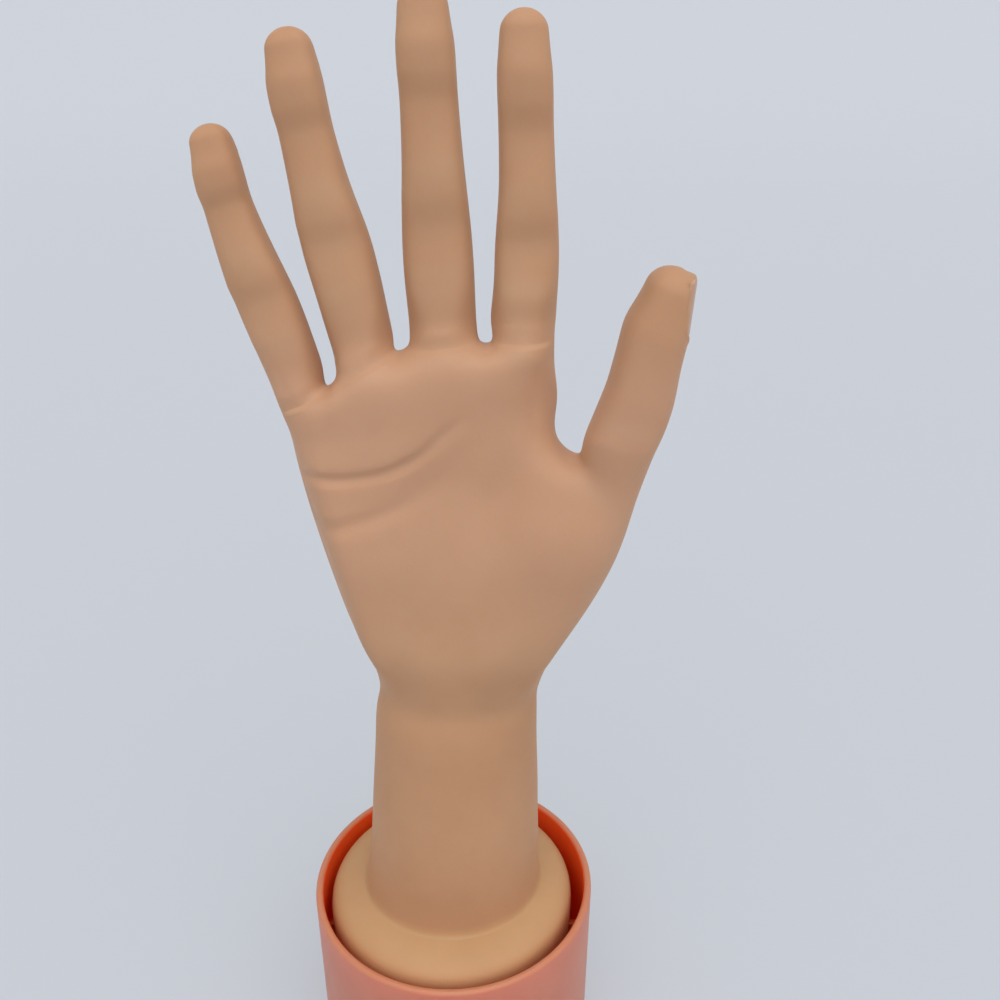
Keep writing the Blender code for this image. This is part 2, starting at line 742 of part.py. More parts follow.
def build_fingers(fine, names, palm_frame, palm_skin):
    for name in FINGER_ORDER:
        data = FINGERS[name]
        scale = data["bone"]
        half = BONE_WIDTH / 2 * scale
        base, middle, end = data["base"], data["middle"], data["end"]
        length = finger_length(name)
        base_at, middle_at, end_at = (finger_frame(name, d) for d in (base, middle, end))
        stub = prism("stub", stadium(BONE_RADIUS * scale, -STUB_LENGTH, 0.0), -half, half, base_at)
        join(palm_frame, stub)
        make_fork(palm_frame, base_at, scale, 0.0)
        bore(palm_skin, base_at, scale, -STUB_LENGTH - BONE_RADIUS - BORE_GAP, BORE_PAST)
        pin(name + "_base_pin", base_at, PIN_RADIUS * scale, half)
        link(name + "_proximal_link", base_at, scale, middle - base)
        pin(name + "_middle_pin", middle_at, PIN_RADIUS * scale, half)
        link(name + "_middle_link", middle_at, scale, end - middle)
        pin(name + "_end_pin", end_at, PIN_RADIUS * scale, half)
        bone = (length - end) * TIP_BONE_SHARE
        end_link(name + "_distal_link", end_at, scale, bone)
        seams = [seam_of(at) for at in (base_at, middle_at, end_at)]
        for zone, at, low, high in (
            ("_proximal", base_at, -BORE_PAST, middle - base + BORE_PAST),
            ("_middle", middle_at, -BORE_PAST, end - middle + BORE_PAST),
            ("_distal", end_at, -BORE_PAST, bone + BORE_GAP),
        ):
            skin = skin_length(fine, names, name + zone, seams)
            bore(skin, at, scale, low, high)
        size = NAILS[name]
        rings = data["rings"]
        top = (rings[5][3] + NAIL_PROUD[0], rings[7][3] + NAIL_PROUD[1])
        add_nail(name, skin, size, length - size[1] - NAIL_SHORT, top)


def seam_of(place):
    return place.translation * MM, place.to_3x3().col[2].copy()


def build_thumb(fine, names, palm_frame, palm_skin):
    scale = THUMB["bone"]
    half = BONE_WIDTH / 2 * scale
    base, end = THUMB["base"], THUMB["end"]
    base_at, end_at = finger_frame("thumb", base), finger_frame("thumb", end)
    stub = prism("stub", stadium(BONE_RADIUS * scale, -STUB_LENGTH, 0.0), -half, half, base_at)
    join(palm_frame, stub)
    arm_low = finger_frame("thumb", base - STUB_LENGTH).translation
    join(palm_frame, thumb_arm(arm_low, 0.0, "arm"))
    make_fork(palm_frame, base_at, scale, 0.0)
    bore(palm_skin, base_at, scale, -STUB_LENGTH - BONE_RADIUS * scale - BORE_GAP, BORE_PAST)
    cut(palm_skin, thumb_arm(arm_low, BORE_GAP, "arm_bore"))
    pin("thumb_base_pin", base_at, PIN_RADIUS * scale, half)
    link("thumb_proximal_link", base_at, scale, end - base)
    pin("thumb_end_pin", end_at, PIN_RADIUS * scale, half)
    bone = (THUMB["length"] - end) * TIP_BONE_SHARE
    end_link("thumb_distal_link", end_at, scale, bone)
    seams = [seam_of(base_at), seam_of(end_at)]
    skin = skin_length(fine, names, "thumb_proximal", seams)
    bore(skin, base_at, scale, -BORE_PAST, end - base + BORE_PAST)
    skin = skin_length(fine, names, "thumb_distal", seams)
    bore(skin, end_at, scale, -BORE_PAST, bone + BORE_GAP)
    add_nail("thumb", skin, THUMB_NAIL, THUMB["length"] - THUMB_NAIL[1] - THUMB_NAIL_SHORT, THUMB_NAIL_TOP)


def thumb_arm(end, grow, name):
    """The bar of the palm frame that carries the thumb's fork."""
    start = Vector(THUMB_ARM_START)
    place = frame_at(start, (0.0, 1.0, 0.0), end - start)
    length = (end - start).length
    half_deep, half_wide = THUMB_ARM_HALF
    outline = box_outline(half_deep + grow, -THUMB_ARM_LAP - grow, length + THUMB_ARM_LAP + grow)
    return prism(name, outline, -half_wide - grow, half_wide + grow, place)


def palm_outline(grow):
    """The palm frame's outline, moved outwards."""
    points = [Vector(p) for p in PALM_FRAME]
    moved = []
    for i, p in enumerate(points):
        before, after = points[i - 1], points[(i + 1) % len(points)]
        one = (p - before).normalized()
        two = (after - p).normalized()
        out = Vector((one.y, -one.x)) + Vector((two.y, -two.x))
        moved.append(p + out.normalized() * grow / max(0.5, out.length / 2))
    return moved


def flat_plate(name, outline, low, high, slot=None):
    points = [(p.x, low, p.y) for p in outline] + [(p.x, high, p.y) for p in outline]
    count = len(outline)
    faces = [list(range(count)), list(range(count, 2 * count))]
    faces += [[i, (i + 1) % count, count + (i + 1) % count, count + i] for i in range(count)]
    return solid(name, points, faces, slot)


def wrist_frame():
    return frame_at(WRIST, (1.0, 0.0, 0.0), (0.0, 0.0, 1.0))


def build_palm(fine, names):
    place = wrist_frame()
    low, high = PALM_FRAME_DEPTH
    frame = flat_plate("palm_frame", palm_outline(0.0), low, high, "frame")
    tongue_half = WRIST_BONE_WIDTH / 2 - WRIST_EAR - WRIST_GAP
    neck = prism("neck", stadium(WRIST_BONE_RADIUS, 0.0, NECK_LENGTH), -tongue_half, tongue_half, place)
    join(frame, neck)
    drill(frame, place, WRIST_PIN_RADIUS + PIN_HOLE - PIN_RADIUS, WRIST_BONE_WIDTH)
    seams = [seam_of(place)]
    seams += [seam_of(finger_frame(name, FINGERS[name]["base"])) for name in FINGER_ORDER]
    seams.append(seam_of(finger_frame("thumb", THUMB["base"])))
    skin = skin_length(fine, names, "palm", seams)
    cut(skin, flat_plate("pocket", palm_outline(BORE_GAP), low - BORE_GAP, high + BORE_GAP))
    half_x = WRIST_BONE_WIDTH / 2 + BORE_GAP
    half_y = WRIST_BONE_RADIUS + BORE_GAP
    bore_top = NECK_LENGTH + WRIST_BONE_RADIUS + BORE_GAP
    cut(skin, prism("wrist_bore", box_outline(half_y, -WRIST_BONE_RADIUS, bore_top), -half_x, half_x, place))
    return frame, skin


def turned(name, profile, slot=None, count=32):
    """A closed profile of (radius, height) turned about the z axis. Points on the axis are shared."""
    points = []
    rows = []
    for radius, height in profile:
        if radius < 1e-6:
            points.append((0.0, 0.0, height))
            rows.append([len(points) - 1] * count)
            continue
        row = []
        for i in range(count):
            angle = 2 * math.pi * i / count
            points.append((radius * math.cos(angle), radius * math.sin(angle), height))
            row.append(len(points) - 1)
        rows.append(row)
    faces = []
    closed = profile[0][0] > 1e-6
    pairs = list(zip(rows, rows[1:])) + ([(rows[-1], rows[0])] if closed else [])
    for low, high in pairs:
        for i in range(count):
            j = (i + 1) % count
            corners = []
            for corner in (low[i], low[j], high[j], high[i]):
                if corner not in corners:
                    corners.append(corner)
            if len(corners) > 2:
                faces.append(corners)
    return solid(name, points, faces, slot)


def forearm_loft():
    """The flange and forearm as one closed loft, ending just under the wrist seam."""
    top = (WRIST_RING[0] - SEAM, *WRIST_RING[1:])
    points = []
    for height, centre, half_x, half_y in FLANGE_RINGS + FOREARM_RINGS + (top,):
        points += [(centre + x, y, height) for x, y in oval(half_x, half_y)]
    faces = [list(range(FOREARM_SIDES)), list(range(len(points) - FOREARM_SIDES, len(points)))]
    for low in range(0, len(points) - FOREARM_SIDES, FOREARM_SIDES):
        for i in range(FOREARM_SIDES):
            j = (i + 1) % FOREARM_SIDES
            faces.append((low + i, low + j, low + FOREARM_SIDES + j, low + FOREARM_SIDES + i))
    return solid("forearm_skin", points, faces, "skin")


def oval(half_x, half_y):
    turn = 2 * math.pi / FOREARM_SIDES
    return [(half_x * math.cos(turn * i), half_y * math.sin(turn * i)) for i in range(FOREARM_SIDES)]


def build_base():
    wall = CUP_WALL
    lip = CUP_WALL / 2
    cup = turned("base_cup", (
        (0.0, 0.0), (CUP_FOOT_RADIUS - CUP_EDGE, 0.0), (CUP_FOOT_RADIUS, CUP_EDGE),
        (CUP_RADIUS, CUP_HEIGHT - lip), (CUP_RADIUS - 0.3 * lip, CUP_HEIGHT - 0.3 * lip),
        (CUP_RADIUS - wall / 2, CUP_HEIGHT),
        (CUP_RADIUS - wall + 0.3 * lip, CUP_HEIGHT - 0.3 * lip), (CUP_RADIUS - wall, CUP_HEIGHT - lip),
        (CUP_FOOT_RADIUS - wall, CUP_FLOOR), (0.0, CUP_FLOOR),
    ), "cup", CUP_SIDES)
    for i in range(RIB_COUNT):
        turn = Matrix.Rotation(2 * math.pi * (i + 0.5) / RIB_COUNT, 4, "Z")
        low = CUP_FLOOR - RIB_SINK
        far = CUP_FOOT_RADIUS - CUP_WALL / 2
        outline = [(RIB_START, low), (far, low), (far, RIB_TOP), (RIB_START, RIB_TOP)]
        join(cup, prism("rib", outline, -RIB_THICK / 2, RIB_THICK / 2, turn))
    hole = BOLT_RADIUS + BOLT_GAP
    sunk = BOLT_HEAD_RADIUS + BORE_GAP
    seat = PLUG_LOW + BOLT_HEAD_HIGH + 2 * BOLT_GAP
    turned("base_plug", (
        (hole, seat), (sunk, seat), (sunk, PLUG_LOW),
        (PLUG_RADIUS - PLUG_EDGE / 2, PLUG_LOW), (PLUG_RADIUS, PLUG_LOW + PLUG_EDGE / 2),
        (PLUG_RADIUS, PLUG_HIGH - PLUG_EDGE), (PLUG_RADIUS - PLUG_EDGE, PLUG_HIGH), (hole, PLUG_HIGH),
    ), "plug")
    low = PLUG_LOW + BOLT_GAP
    high = low + BOLT_HEAD_HIGH
    turned("pivot_bolt", (
        (0.0, low), (BOLT_HEAD_RADIUS - BOLT_EDGE, low), (BOLT_HEAD_RADIUS, low + BOLT_EDGE),
        (BOLT_HEAD_RADIUS, high), (BOLT_RADIUS, high),
        (BOLT_RADIUS, BOLT_TOP - BOLT_EDGE), (BOLT_RADIUS - BOLT_EDGE, BOLT_TOP), (0.0, BOLT_TOP),
    ), "pin", BOLT_SIDES)
    post = turned("forearm_post", (
        (0.0, POST_FOOT_LOW), (POST_FOOT_RADIUS, POST_FOOT_LOW),
        (POST_FOOT_RADIUS, POST_FOOT_HIGH), (0.0, POST_FOOT_HIGH),
    ), "frame")
    place = wrist_frame()
    half = WRIST_BONE_WIDTH / 2
    depth = WRIST[2] - POST_FOOT_HIGH + POST_SINK
    shaft = stadium(WRIST_BONE_RADIUS, 0.0, 0.0)[:ARC + 1]
    shaft += [(-WRIST_BONE_RADIUS, -depth), (WRIST_BONE_RADIUS, -depth)]
    join(post, prism("shaft", shaft, -half, half, place))
    slot = circle(WRIST_BONE_RADIUS + WRIST_GAP, 2 * BOLT_SIDES)
    slot_half = half - WRIST_EAR
    cut(post, prism("slot", slot, -slot_half, slot_half, place))
    drill(post, place, WRIST_PIN_RADIUS + PIN_HOLE - PIN_RADIUS, WRIST_BONE_WIDTH)
    bore_low = POST_FOOT_LOW - BOLT_RADIUS
    bore_top = BOLT_TOP + BOLT_GAP
    cut(post, turned("bolt_bore", (
        (0.0, bore_low), (hole, bore_low), (hole, bore_top), (0.0, bore_top),
    ), None, BOLT_SIDES))
    pin("wrist_pin", place, WRIST_PIN_RADIUS, half)
    skin = forearm_loft()
    gap = BORE_GAP
    pocket_low = PLUG_LOW - PLUG_EDGE
    pocket = PLUG_RADIUS + gap
    foot = POST_FOOT_RADIUS + gap
    cut(skin, turned("plug_pocket", (
        (0.0, pocket_low), (pocket, pocket_low),
        (pocket, PLUG_HIGH - PLUG_EDGE), (pocket - PLUG_EDGE, PLUG_HIGH + gap),
        (foot, PLUG_HIGH + gap), (foot, POST_FOOT_HIGH + gap), (0.0, POST_FOOT_HIGH + gap),
    )))
    half_x = half + gap
    half_y = WRIST_BONE_RADIUS + gap
    cut(skin, prism("post_bore", box_outline(half_y, -depth, 2 * WRIST_BONE_RADIUS), -half_x, half_x, place))


def hang(obj, parent):
    """Parents an object to an empty and leaves it where it is."""
    obj.parent = parent
    obj.matrix_parent_inverse = parent.matrix_basis.inverted()


def joint_empty(name, place, parent, pieces):
    """An empty on a joint's axis, which carries the pieces that move on that joint."""
    empty = bpy.data.objects.new(name + "_axis", None)
    empty.empty_display_size = EMPTY_SIZE * MM
    bpy.context.scene.collection.objects.link(empty)
    empty.matrix_basis = Matrix.Translation(place.translation * MM) @ place.to_3x3().to_4x4()
    if parent:
        hang(empty, parent)
    for piece in pieces:
        hang(bpy.data.objects[piece], empty)
    return empty


def assemble():
    """Hangs every moving piece on the axis it turns or slides on. The cup stands still."""
    upright = Matrix.Identity(4)
    lift = joint_empty("hand_lift", upright, None, ["base_plug"])
    turn = joint_empty(
        "hand_turn", upright, lift, ["pivot_bolt", "forearm_post", "forearm_skin", "wrist_pin"],
    )
    pins = [name + "_base_pin" for name in (*FINGER_ORDER, "thumb")]
    wrist = joint_empty("wrist_bend", wrist_frame(), turn, ["palm_frame", "palm_skin", *pins])
    for name in FINGER_ORDER:
        above = wrist
        for joint, part, held in (
            ("base", "proximal", "middle_pin"), ("middle", "middle", "end_pin"), ("end", "distal", "nail"),
        ):
            pieces = [f"{name}_{part}_link", f"{name}_{part}_skin", f"{name}_{held}"]
            place = finger_frame(name, FINGERS[name][joint])
            above = joint_empty(f"{name}_{joint}_bend", place, above, pieces)
    base = joint_empty(
        "thumb_base_bend", finger_frame("thumb", THUMB["base"]), wrist,
        ["thumb_proximal_link", "thumb_proximal_skin", "thumb_end_pin"],
    )
    joint_empty(
        "thumb_end_bend", finger_frame("thumb", THUMB["end"]), base,
        ["thumb_distal_link", "thumb_distal_skin", "thumb_nail"],
    )


def main():
    clear_scene()
    fine, names = smooth_skin(hand_cage(), 1)
    build_base()
    palm_frame, palm_skin = build_palm(fine, names)
    build_fingers(fine, names, palm_frame, palm_skin)
    build_thumb(fine, names, palm_frame, palm_skin)
    assemble()


main()
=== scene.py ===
"""Looks of the hand mannequin: one soft skin over its jointed frame, bare nails, and its cup."""

import json
import math
from functools import cache

import bmesh
import bpy
import numpy as np
from mathutils import Matrix, Vector


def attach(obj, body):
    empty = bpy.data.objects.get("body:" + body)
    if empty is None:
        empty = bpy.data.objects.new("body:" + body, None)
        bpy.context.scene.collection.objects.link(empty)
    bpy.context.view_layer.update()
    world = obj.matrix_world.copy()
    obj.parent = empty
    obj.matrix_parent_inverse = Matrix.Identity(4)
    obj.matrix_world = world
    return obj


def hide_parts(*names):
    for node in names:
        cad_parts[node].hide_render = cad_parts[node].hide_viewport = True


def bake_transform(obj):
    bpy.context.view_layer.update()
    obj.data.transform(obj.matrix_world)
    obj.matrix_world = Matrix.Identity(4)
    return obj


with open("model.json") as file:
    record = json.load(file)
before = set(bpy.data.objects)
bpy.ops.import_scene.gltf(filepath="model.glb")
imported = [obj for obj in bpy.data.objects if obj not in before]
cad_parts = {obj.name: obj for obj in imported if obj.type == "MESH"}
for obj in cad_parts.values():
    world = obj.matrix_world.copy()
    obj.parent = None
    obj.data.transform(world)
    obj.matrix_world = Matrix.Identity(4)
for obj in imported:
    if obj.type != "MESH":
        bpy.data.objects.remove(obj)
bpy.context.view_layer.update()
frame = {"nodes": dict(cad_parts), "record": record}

MM = 0.001

# Skin below the wrist: height, centre x, half width, half depth
POCKET_RINGS = (
    (54.0, 0.0, 35.2, 35.2),
    (46.0, 0.0, 35.6, 35.6),
    (44.4, 0.0, 36.6, 36.6),
    (44.4, 0.0, 38.2, 38.2),
)
FLANGE_RINGS = (
    (45.6, 0.0, 39.3, 39.3),
    (51.0, 0.0, 39.7, 39.7),
    (57.4, 0.0, 39.8, 39.8),
    (61.2, 0.1, 38.9, 38.9),
    (63.6, 0.2, 36.2, 36.0),
    (65.0, 0.3, 32.4, 31.4),
    (65.6, 0.4, 29.8, 28.2),
    (67.4, 0.5, 28.5, 26.4),
)
FLANGE_ASIDE = (-0.9, 0.9)  # the foot of the skin sits off the middle of the cup
FOREARM_RINGS = (
    (77.0, 0.7, 27.4, 24.9),
    (92.0, 0.9, 26.4, 23.0),
    (108.0, 1.4, 25.6, 21.0),
    (124.0, 1.8, 24.6, 19.0),
    (135.0, 2.2, 24.1, 17.6),
)
WRIST_RING = (142.0, 3.0, 23.5, 16.6)

# Palm rows: little-finger side (x, z), thumb side (x, z)
PALM_SIDES = (
    ((-21.9, 150.6), (29.3, 150.6)),
    ((-26.4, 162.0), (34.8, 162.0)),
    ((-30.5, 176.0), (45.0, 180.0)),
    ((-34.0, 190.5), (50.0, 206.0)),
    ((-36.7, 203.0), (43.5, 212.0)),
    ((-38.2, 211.5), (33.6, 218.4)),
    ((-39.2, 217.5), (29.4, 223.2)),
    ((-40.3, 226.0), (29.2, 232.0)),
)
# Depth of the palm and of the back at these shares of the width, from the little-finger side
DEPTH_AT = (0.08, 0.36, 0.64, 0.92)
PALM_DEPTH = (
    (-13.0, -18.5, -19.0, -14.0),
    (-15.0, -19.0, -20.5, -17.0),
    (-15.5, -16.5, -19.5, -20.0),
    (-14.6, -13.5, -15.5, -20.0),
    (-13.2, -12.0, -12.6, -17.6),
    (-11.8, -12.2, -12.0, -13.6),
    (-10.8, -12.8, -12.6, -11.0),
    (-9.8, -13.0, -12.8, -10.2),
)
BACK_DEPTH = (
    (10.0, 15.4, 15.4, 10.0),
    (9.4, 14.4, 14.6, 9.4),
    (8.6, 13.2, 13.6, 9.0),
    (8.2, 12.6, 13.0, 7.2),
    (8.2, 12.6, 13.0, 6.4),
    (8.6, 13.0, 13.4, 7.6),
    (9.0, 13.4, 13.8, 8.8),
    (9.4, 13.8, 14.2, 9.8),
)
SIDE_DEPTH = -1.5
PALM_ROW_UNDER_ROOT = 8.5
BACK_ROW_UNDER_ROOT = 10.0

# Fingers: root and tip on the axis (x, z), depth of the axis, joints and rings by distance
# from the root.
# Rings: distance, half width, palm side, back side, shift towards the thumb.
FINGERS = {
    "index": {
        "root": (20.9, 247.0), "tip": (20.6, 323.4), "depth": 1.0,
        "base": 6.5, "middle": 25.0, "end": 50.3, "webs": (247.4, 247.6), "sides": (8.3, 8.6),
        "rings": (
            (6.5, 8.2, 7.4, 7.8, 0.2), (15.5, 8.0, 8.0, 7.4, 0.8), (25.0, 7.8, 6.5, 7.6, 1.0),
            (37.5, 6.9, 7.0, 6.3, 1.0), (50.3, 6.5, 5.6, 5.7, 0.6), (63.0, 6.4, 6.3, 4.9, 0.2),
            (71.2, 5.6, 4.7, 4.1, 0.0), (75.7, 3.0, 2.3, 2.6, 0.0),
        ),
    },
    "middle": {
        "root": (0.8, 246.4), "tip": (-2.2, 328.5), "depth": 2.0,
        "base": 6.5, "middle": 29.2, "end": 57.5, "webs": (246.0, 247.4), "sides": (9.4, 9.9),
        "rings": (
            (6.5, 8.5, 7.6, 8.0, 0.1), (18.0, 8.7, 8.2, 7.6, 0.0), (29.2, 8.4, 6.7, 7.9, 0.0),
            (43.4, 7.4, 7.2, 6.6, 0.1), (57.5, 6.8, 5.8, 5.9, 0.1), (69.5, 6.7, 6.5, 5.1, 0.0),
            (77.0, 5.8, 4.9, 4.3, 0.0), (81.0, 3.2, 2.4, 2.7, 0.0),
        ),
    },
    "ring": {
        "root": (-19.0, 241.5), "tip": (-32.6, 319.6), "depth": 1.0,
        "base": 6.5, "middle": 31.0, "end": 56.6, "webs": (237.6, 246.0), "sides": (8.0, 8.2),
        "rings": (
            (6.5, 8.0, 7.2, 7.6, 0.1), (18.8, 8.3, 7.8, 7.2, 0.0), (31.0, 8.4, 6.4, 7.5, -0.5),
            (43.8, 7.1, 6.8, 6.2, -1.0), (56.6, 6.4, 5.5, 5.6, -1.2), (67.8, 6.4, 6.2, 4.8, -1.0),
            (74.4, 5.5, 4.6, 4.0, -0.6), (78.2, 3.0, 2.3, 2.5, -0.4),
        ),
    },
    "little": {
        "root": (-35.4, 232.5), "tip": (-52.9, 299.2), "depth": -1.0,
        "base": 6.5, "middle": 26.5, "end": 50.2, "webs": (230.0, 237.4), "sides": (7.0, 6.9),
        "rings": (
            (6.5, 7.3, 6.6, 7.0, 0.2), (16.5, 7.3, 7.0, 6.6, 0.0), (26.5, 7.4, 5.8, 6.8, -0.5),
            (38.4, 6.6, 6.1, 5.6, -1.1), (50.2, 5.8, 5.0, 5.1, -1.3), (59.2, 5.7, 5.6, 4.4, -0.6),
            (64.8, 4.9, 4.2, 3.7, 0.0), (68.0, 2.7, 2.1, 2.3, 0.2),
        ),
    },
}
FINGER_ORDER = ("index", "middle", "ring", "little")
BASE_RING, MIDDLE_RING = 1, 3  # the rings where one piece of finger skin meets the next
PALM_PIECE_ROW = 2  # the palm row whose lower edge is the seam to the forearm's piece
ROOT_PALM_SIDE = 12.6
ROOT_BACK_SIDE = 8.6
ROOT_BACK_DROP = 4.0
ROOT_SIDE_SHARE = 0.7
ROOT_NARROW = 0.9
ROOT_SQUARE_BACK = 0.06
ROOT_SQUARE_PALM = 0.14

# Thumb: axis start and direction (x, z), depth of the axis. Rings: as above, with the pad's side
# and the nail's.
THUMB = {
    "start": (45.2, 220.0), "way": (11.0, 46.0), "depth": -12.0,
    "end": 18.5, "length": 50.2,
    "rings": (
        (4.0, 9.5, 9.7, 8.0, 0.0), (11.2, 9.5, 9.0, 8.8, 0.0), (18.5, 9.6, 8.3, 8.8, 0.0),
        (27.0, 9.2, 8.4, 7.8, 0.0), (35.5, 8.9, 8.5, 7.1, 0.0), (43.6, 7.6, 6.5, 5.6, 0.0),
        (48.6, 4.6, 3.6, 4.2, 0.0),
    ),
}
# Where the thumb leaves the palm: x, depth, z
THUMB_HOLE = {
    "top": (34.6, -8.0, 219.4), "front_top": (37.0, -16.2, 216.0), "front": (42.6, -20.8, 210.5),
    "front_low": (47.6, -18.0, 203.5), "low": (49.5, -10.0, 203.5), "back_low": (47.6, -1.2, 204.0),
    "back": (42.6, 1.6, 209.5), "back_top": (37.0, 0.4, 215.0),
}

# Nails: width and length
NAILS = {
    "index": (9.4, 10.8), "middle": (9.8, 11.4), "ring": (9.2, 10.6), "little": (7.8, 8.8),
    "thumb": (12.6, 14.6),
}
NAIL_PROUD = (0.25, 0.9)  # over the flesh, at the root and at the free edge
NAIL_SHORT = 1.6  # from the fingertip
THUMB_NAIL_TOP = (7.4, 4.9)  # over the thumb's axis, at the root and at the free edge
THUMB_NAIL_SHORT = 0.9
NAIL_THICK = 0.9
NAIL_SINK = 0.5  # from the nail's upper face to its bed
NAIL_ROUNDED = (0.3, 0.8)  # drop and width of the soft rim
NAIL_BEND = 0.62
NAIL_WIDTHS = ((0.0, 0.25, 0.5, 0.8, 1.0), (0.82, 0.95, 1.0, 0.98, 0.92))
NAIL_ROOT_ROUND = 2.2
NAIL_EDGE_ROUND = 1.0
NAIL_STEPS = 28

# Cup
CUP_HEIGHT = 65.0
CUP_RADIUS = 45.3
CUP_FOOT_RADIUS = 45.0
CUP_WALL = 2.4
CUP_FLOOR = 3.0
CUP_EDGE = 1.2
CUP_SIDES = 160
RIB_TOP = 43.6
RIB_COUNT = 6
RIB_THICK = 2.2
RIB_START = 12.0
RIB_SINK = 1.0
RIB_EDGE = 0.5
CUP_CREASE = 35.0  # degrees
NAIL_CREASE = 50.0
NO_CREASE = 180.0

TIP_ANGLES = (24.0, 45.0, 64.0, 80.0)
CORNER = 0.76
RING_SHAPE = (
    (1.0, 0.0), (CORNER, CORNER), (0.0, 1.0), (-CORNER, CORNER),
    (-1.0, 0.0), (-CORNER, -CORNER), (0.0, -1.0), (CORNER, -CORNER),
)
COLUMNS = 26
FAR_COLUMN = COLUMNS // 2  # the column on the little-finger side
LOOSE_PULL = 0.12
FIRM_PULL = 0.9
FIT_ROUNDS = 6

# Lines on the palm (x, z): three from the little-finger side, and one round the ball of the thumb
LEDGE = (
    (-42.0, 229.0), (-34.3, 233.4), (-24.8, 238.4), (-17.6, 242.8), (-9.0, 246.3), (0.7, 247.5),
    (10.4, 248.4), (20.0, 248.8), (31.0, 248.8),
)
HEART_LINE = (
    (-42.0, 213.2), (-32.2, 214.2), (-23.2, 214.7), (-13.6, 216.7), (-5.0, 221.4), (2.7, 228.4),
    (9.0, 232.0),
)
HEAD_LINE = ((-36.0, 200.0), (-28.5, 201.2), (-14.7, 205.6), (-5.4, 210.5), (5.0, 219.5))
THUMB_LINE = ((23.5, 224.0), (16.5, 212.8), (12.6, 204.3), (11.2, 192.5), (11.0, 176.0))

PALM_MIDDLE = -5.0  # x of the middle of the finger roots
FOLD_SPACING = 2.6  # of the folds on the back of a finger joint
MOUND = (33.0, 200.0)  # top of the ball of the thumb (x, z)

# Steps of subdivision, and rounds of evening out on the coarser one
COARSE_LEVELS = 2
PLAIN_LEVELS = 3
FINE_LEVELS = 4
RELAX = 0.9
RELAX_ROUNDS = 16
CORNER_ROUNDS = 40
LEDGE_CORNER = (-36.0, -8.0, 233.0)  # where the ledge meets the little finger's outer side
# Edges over which the light inside the skin fades out beside a seam
SEAM_FADE = {PLAIN_LEVELS: 8, FINE_LEVELS: 16}

# Blends: how far before and after a joint a length of skin reaches; the pieces are not bent by this
# script
BEND_REACH = {"base": 5.5, "middle": 8.6, "end": 8.0}
THUMB_BASE_BEND = (-5.0, 11.0)
THUMB_END_REACH = 7.0

# Camera, in millimetres and degrees
CAMERA_PLACE = (15.2, -246.0, 320.2)
CAMERA_DOWN = 25.5
CAMERA_SENSOR = 36.0
CAMERA_LENS = 36.0


def linked(name, data):
    """A new object in the scene."""
    obj = bpy.data.objects.new(name, data)
    bpy.context.scene.collection.objects.link(obj)
    return obj


# Frames along the fingers

def frame_at(origin, across, along):
    """A frame in millimetres: x along the hinge, z along the finger, y to the back of the hand."""
    z = Vector(along).normalized()
    x = (Vector(across) - z * z.dot(Vector(across))).normalized()
    turn = Matrix((x, z.cross(x), z)).transposed().to_4x4()
    return Matrix.Translation(origin) @ turn


def finger_frame(name, distance):
    if name == "thumb":
        start = Vector((THUMB["start"][0], THUMB["depth"], THUMB["start"][1]))
        way = Vector((THUMB["way"][0], 0.0, THUMB["way"][1])).normalized()
        return frame_at(start + way * distance, (0.0, -1.0, 0.0), way)
    data = FINGERS[name]
    start = Vector((data["root"][0], data["depth"], data["root"][1]))
    across = data["tip"][0] - data["root"][0]
    rise = data["tip"][1] - data["root"][1]
    way = Vector((across, 0.0, rise)).normalized()
    return frame_at(start + way * distance, (1.0, 0.0, 0.0), way)


def finger_length(name):
    if name == "thumb":
        return THUMB["length"]
    data = FINGERS[name]
    return math.dist(data["root"], data["tip"])


# The skin's control cage

class Cage:
    def __init__(self):
        self.points = []
        self.faces = []
        self.zones = []
        self.loose = set()

    def add(self, point, loose=False):
        self.points.append(tuple(point))
        if loose:
            self.loose.add(len(self.points) - 1)
        return len(self.points) - 1

    def face(self, corners, zone):
        self.faces.append(tuple(corners))
        self.zones.append(zone)

    def bridge(self, low, high, zone, skip=()):
        count = len(low)
        for i in range(count):
            if i not in skip:
                j = (i + 1) % count
                self.face((low[i], low[j], high[j], high[i]), zone)


def root_ring(cage, name):
    """The eight points where a finger leaves the palm."""
    data = FINGERS[name]
    x, z = data["root"]
    ring = []
    for side, depth in RING_SHAPE:
        half = data["sides"][1] if side > 0 else data["sides"][0]
        web = data["webs"][1] if side > 0 else data["webs"][0]
        if depth == 0.0:
            ring.append(cage.add((x + side * half, data["depth"] - 1.0, web), True))
        elif depth > 0.0:
            y = data["depth"] + ROOT_BACK_SIDE * min(1.0, depth + ROOT_SQUARE_BACK)
            drop = ROOT_BACK_DROP if side == 0.0 else ROOT_BACK_DROP * ROOT_SIDE_SHARE
            ring.append(cage.add((x + ROOT_NARROW * side * half, y, z - drop), True))
        else:
            y = data["depth"] - ROOT_PALM_SIDE * min(1.0, ROOT_SQUARE_PALM - depth)
            lift = (web - z) * 0.5 * abs(side)
            ring.append(cage.add((x + ROOT_NARROW * side * half, y, z + lift), True))
    return ring


def oval_ring(cage, height, centre, half_x, half_y):
    turn = 2 * math.pi / COLUMNS
    return [
        cage.add((centre + half_x * math.cos(turn * k), half_y * math.sin(turn * k), height))
        for k in range(COLUMNS)
    ]


def root_height(x):
    """Height of the line on which the fingers start."""
    roots = sorted(data["root"] for data in FINGERS.values())
    return np.interp(x, [root[0] for root in roots], [root[1] for root in roots])


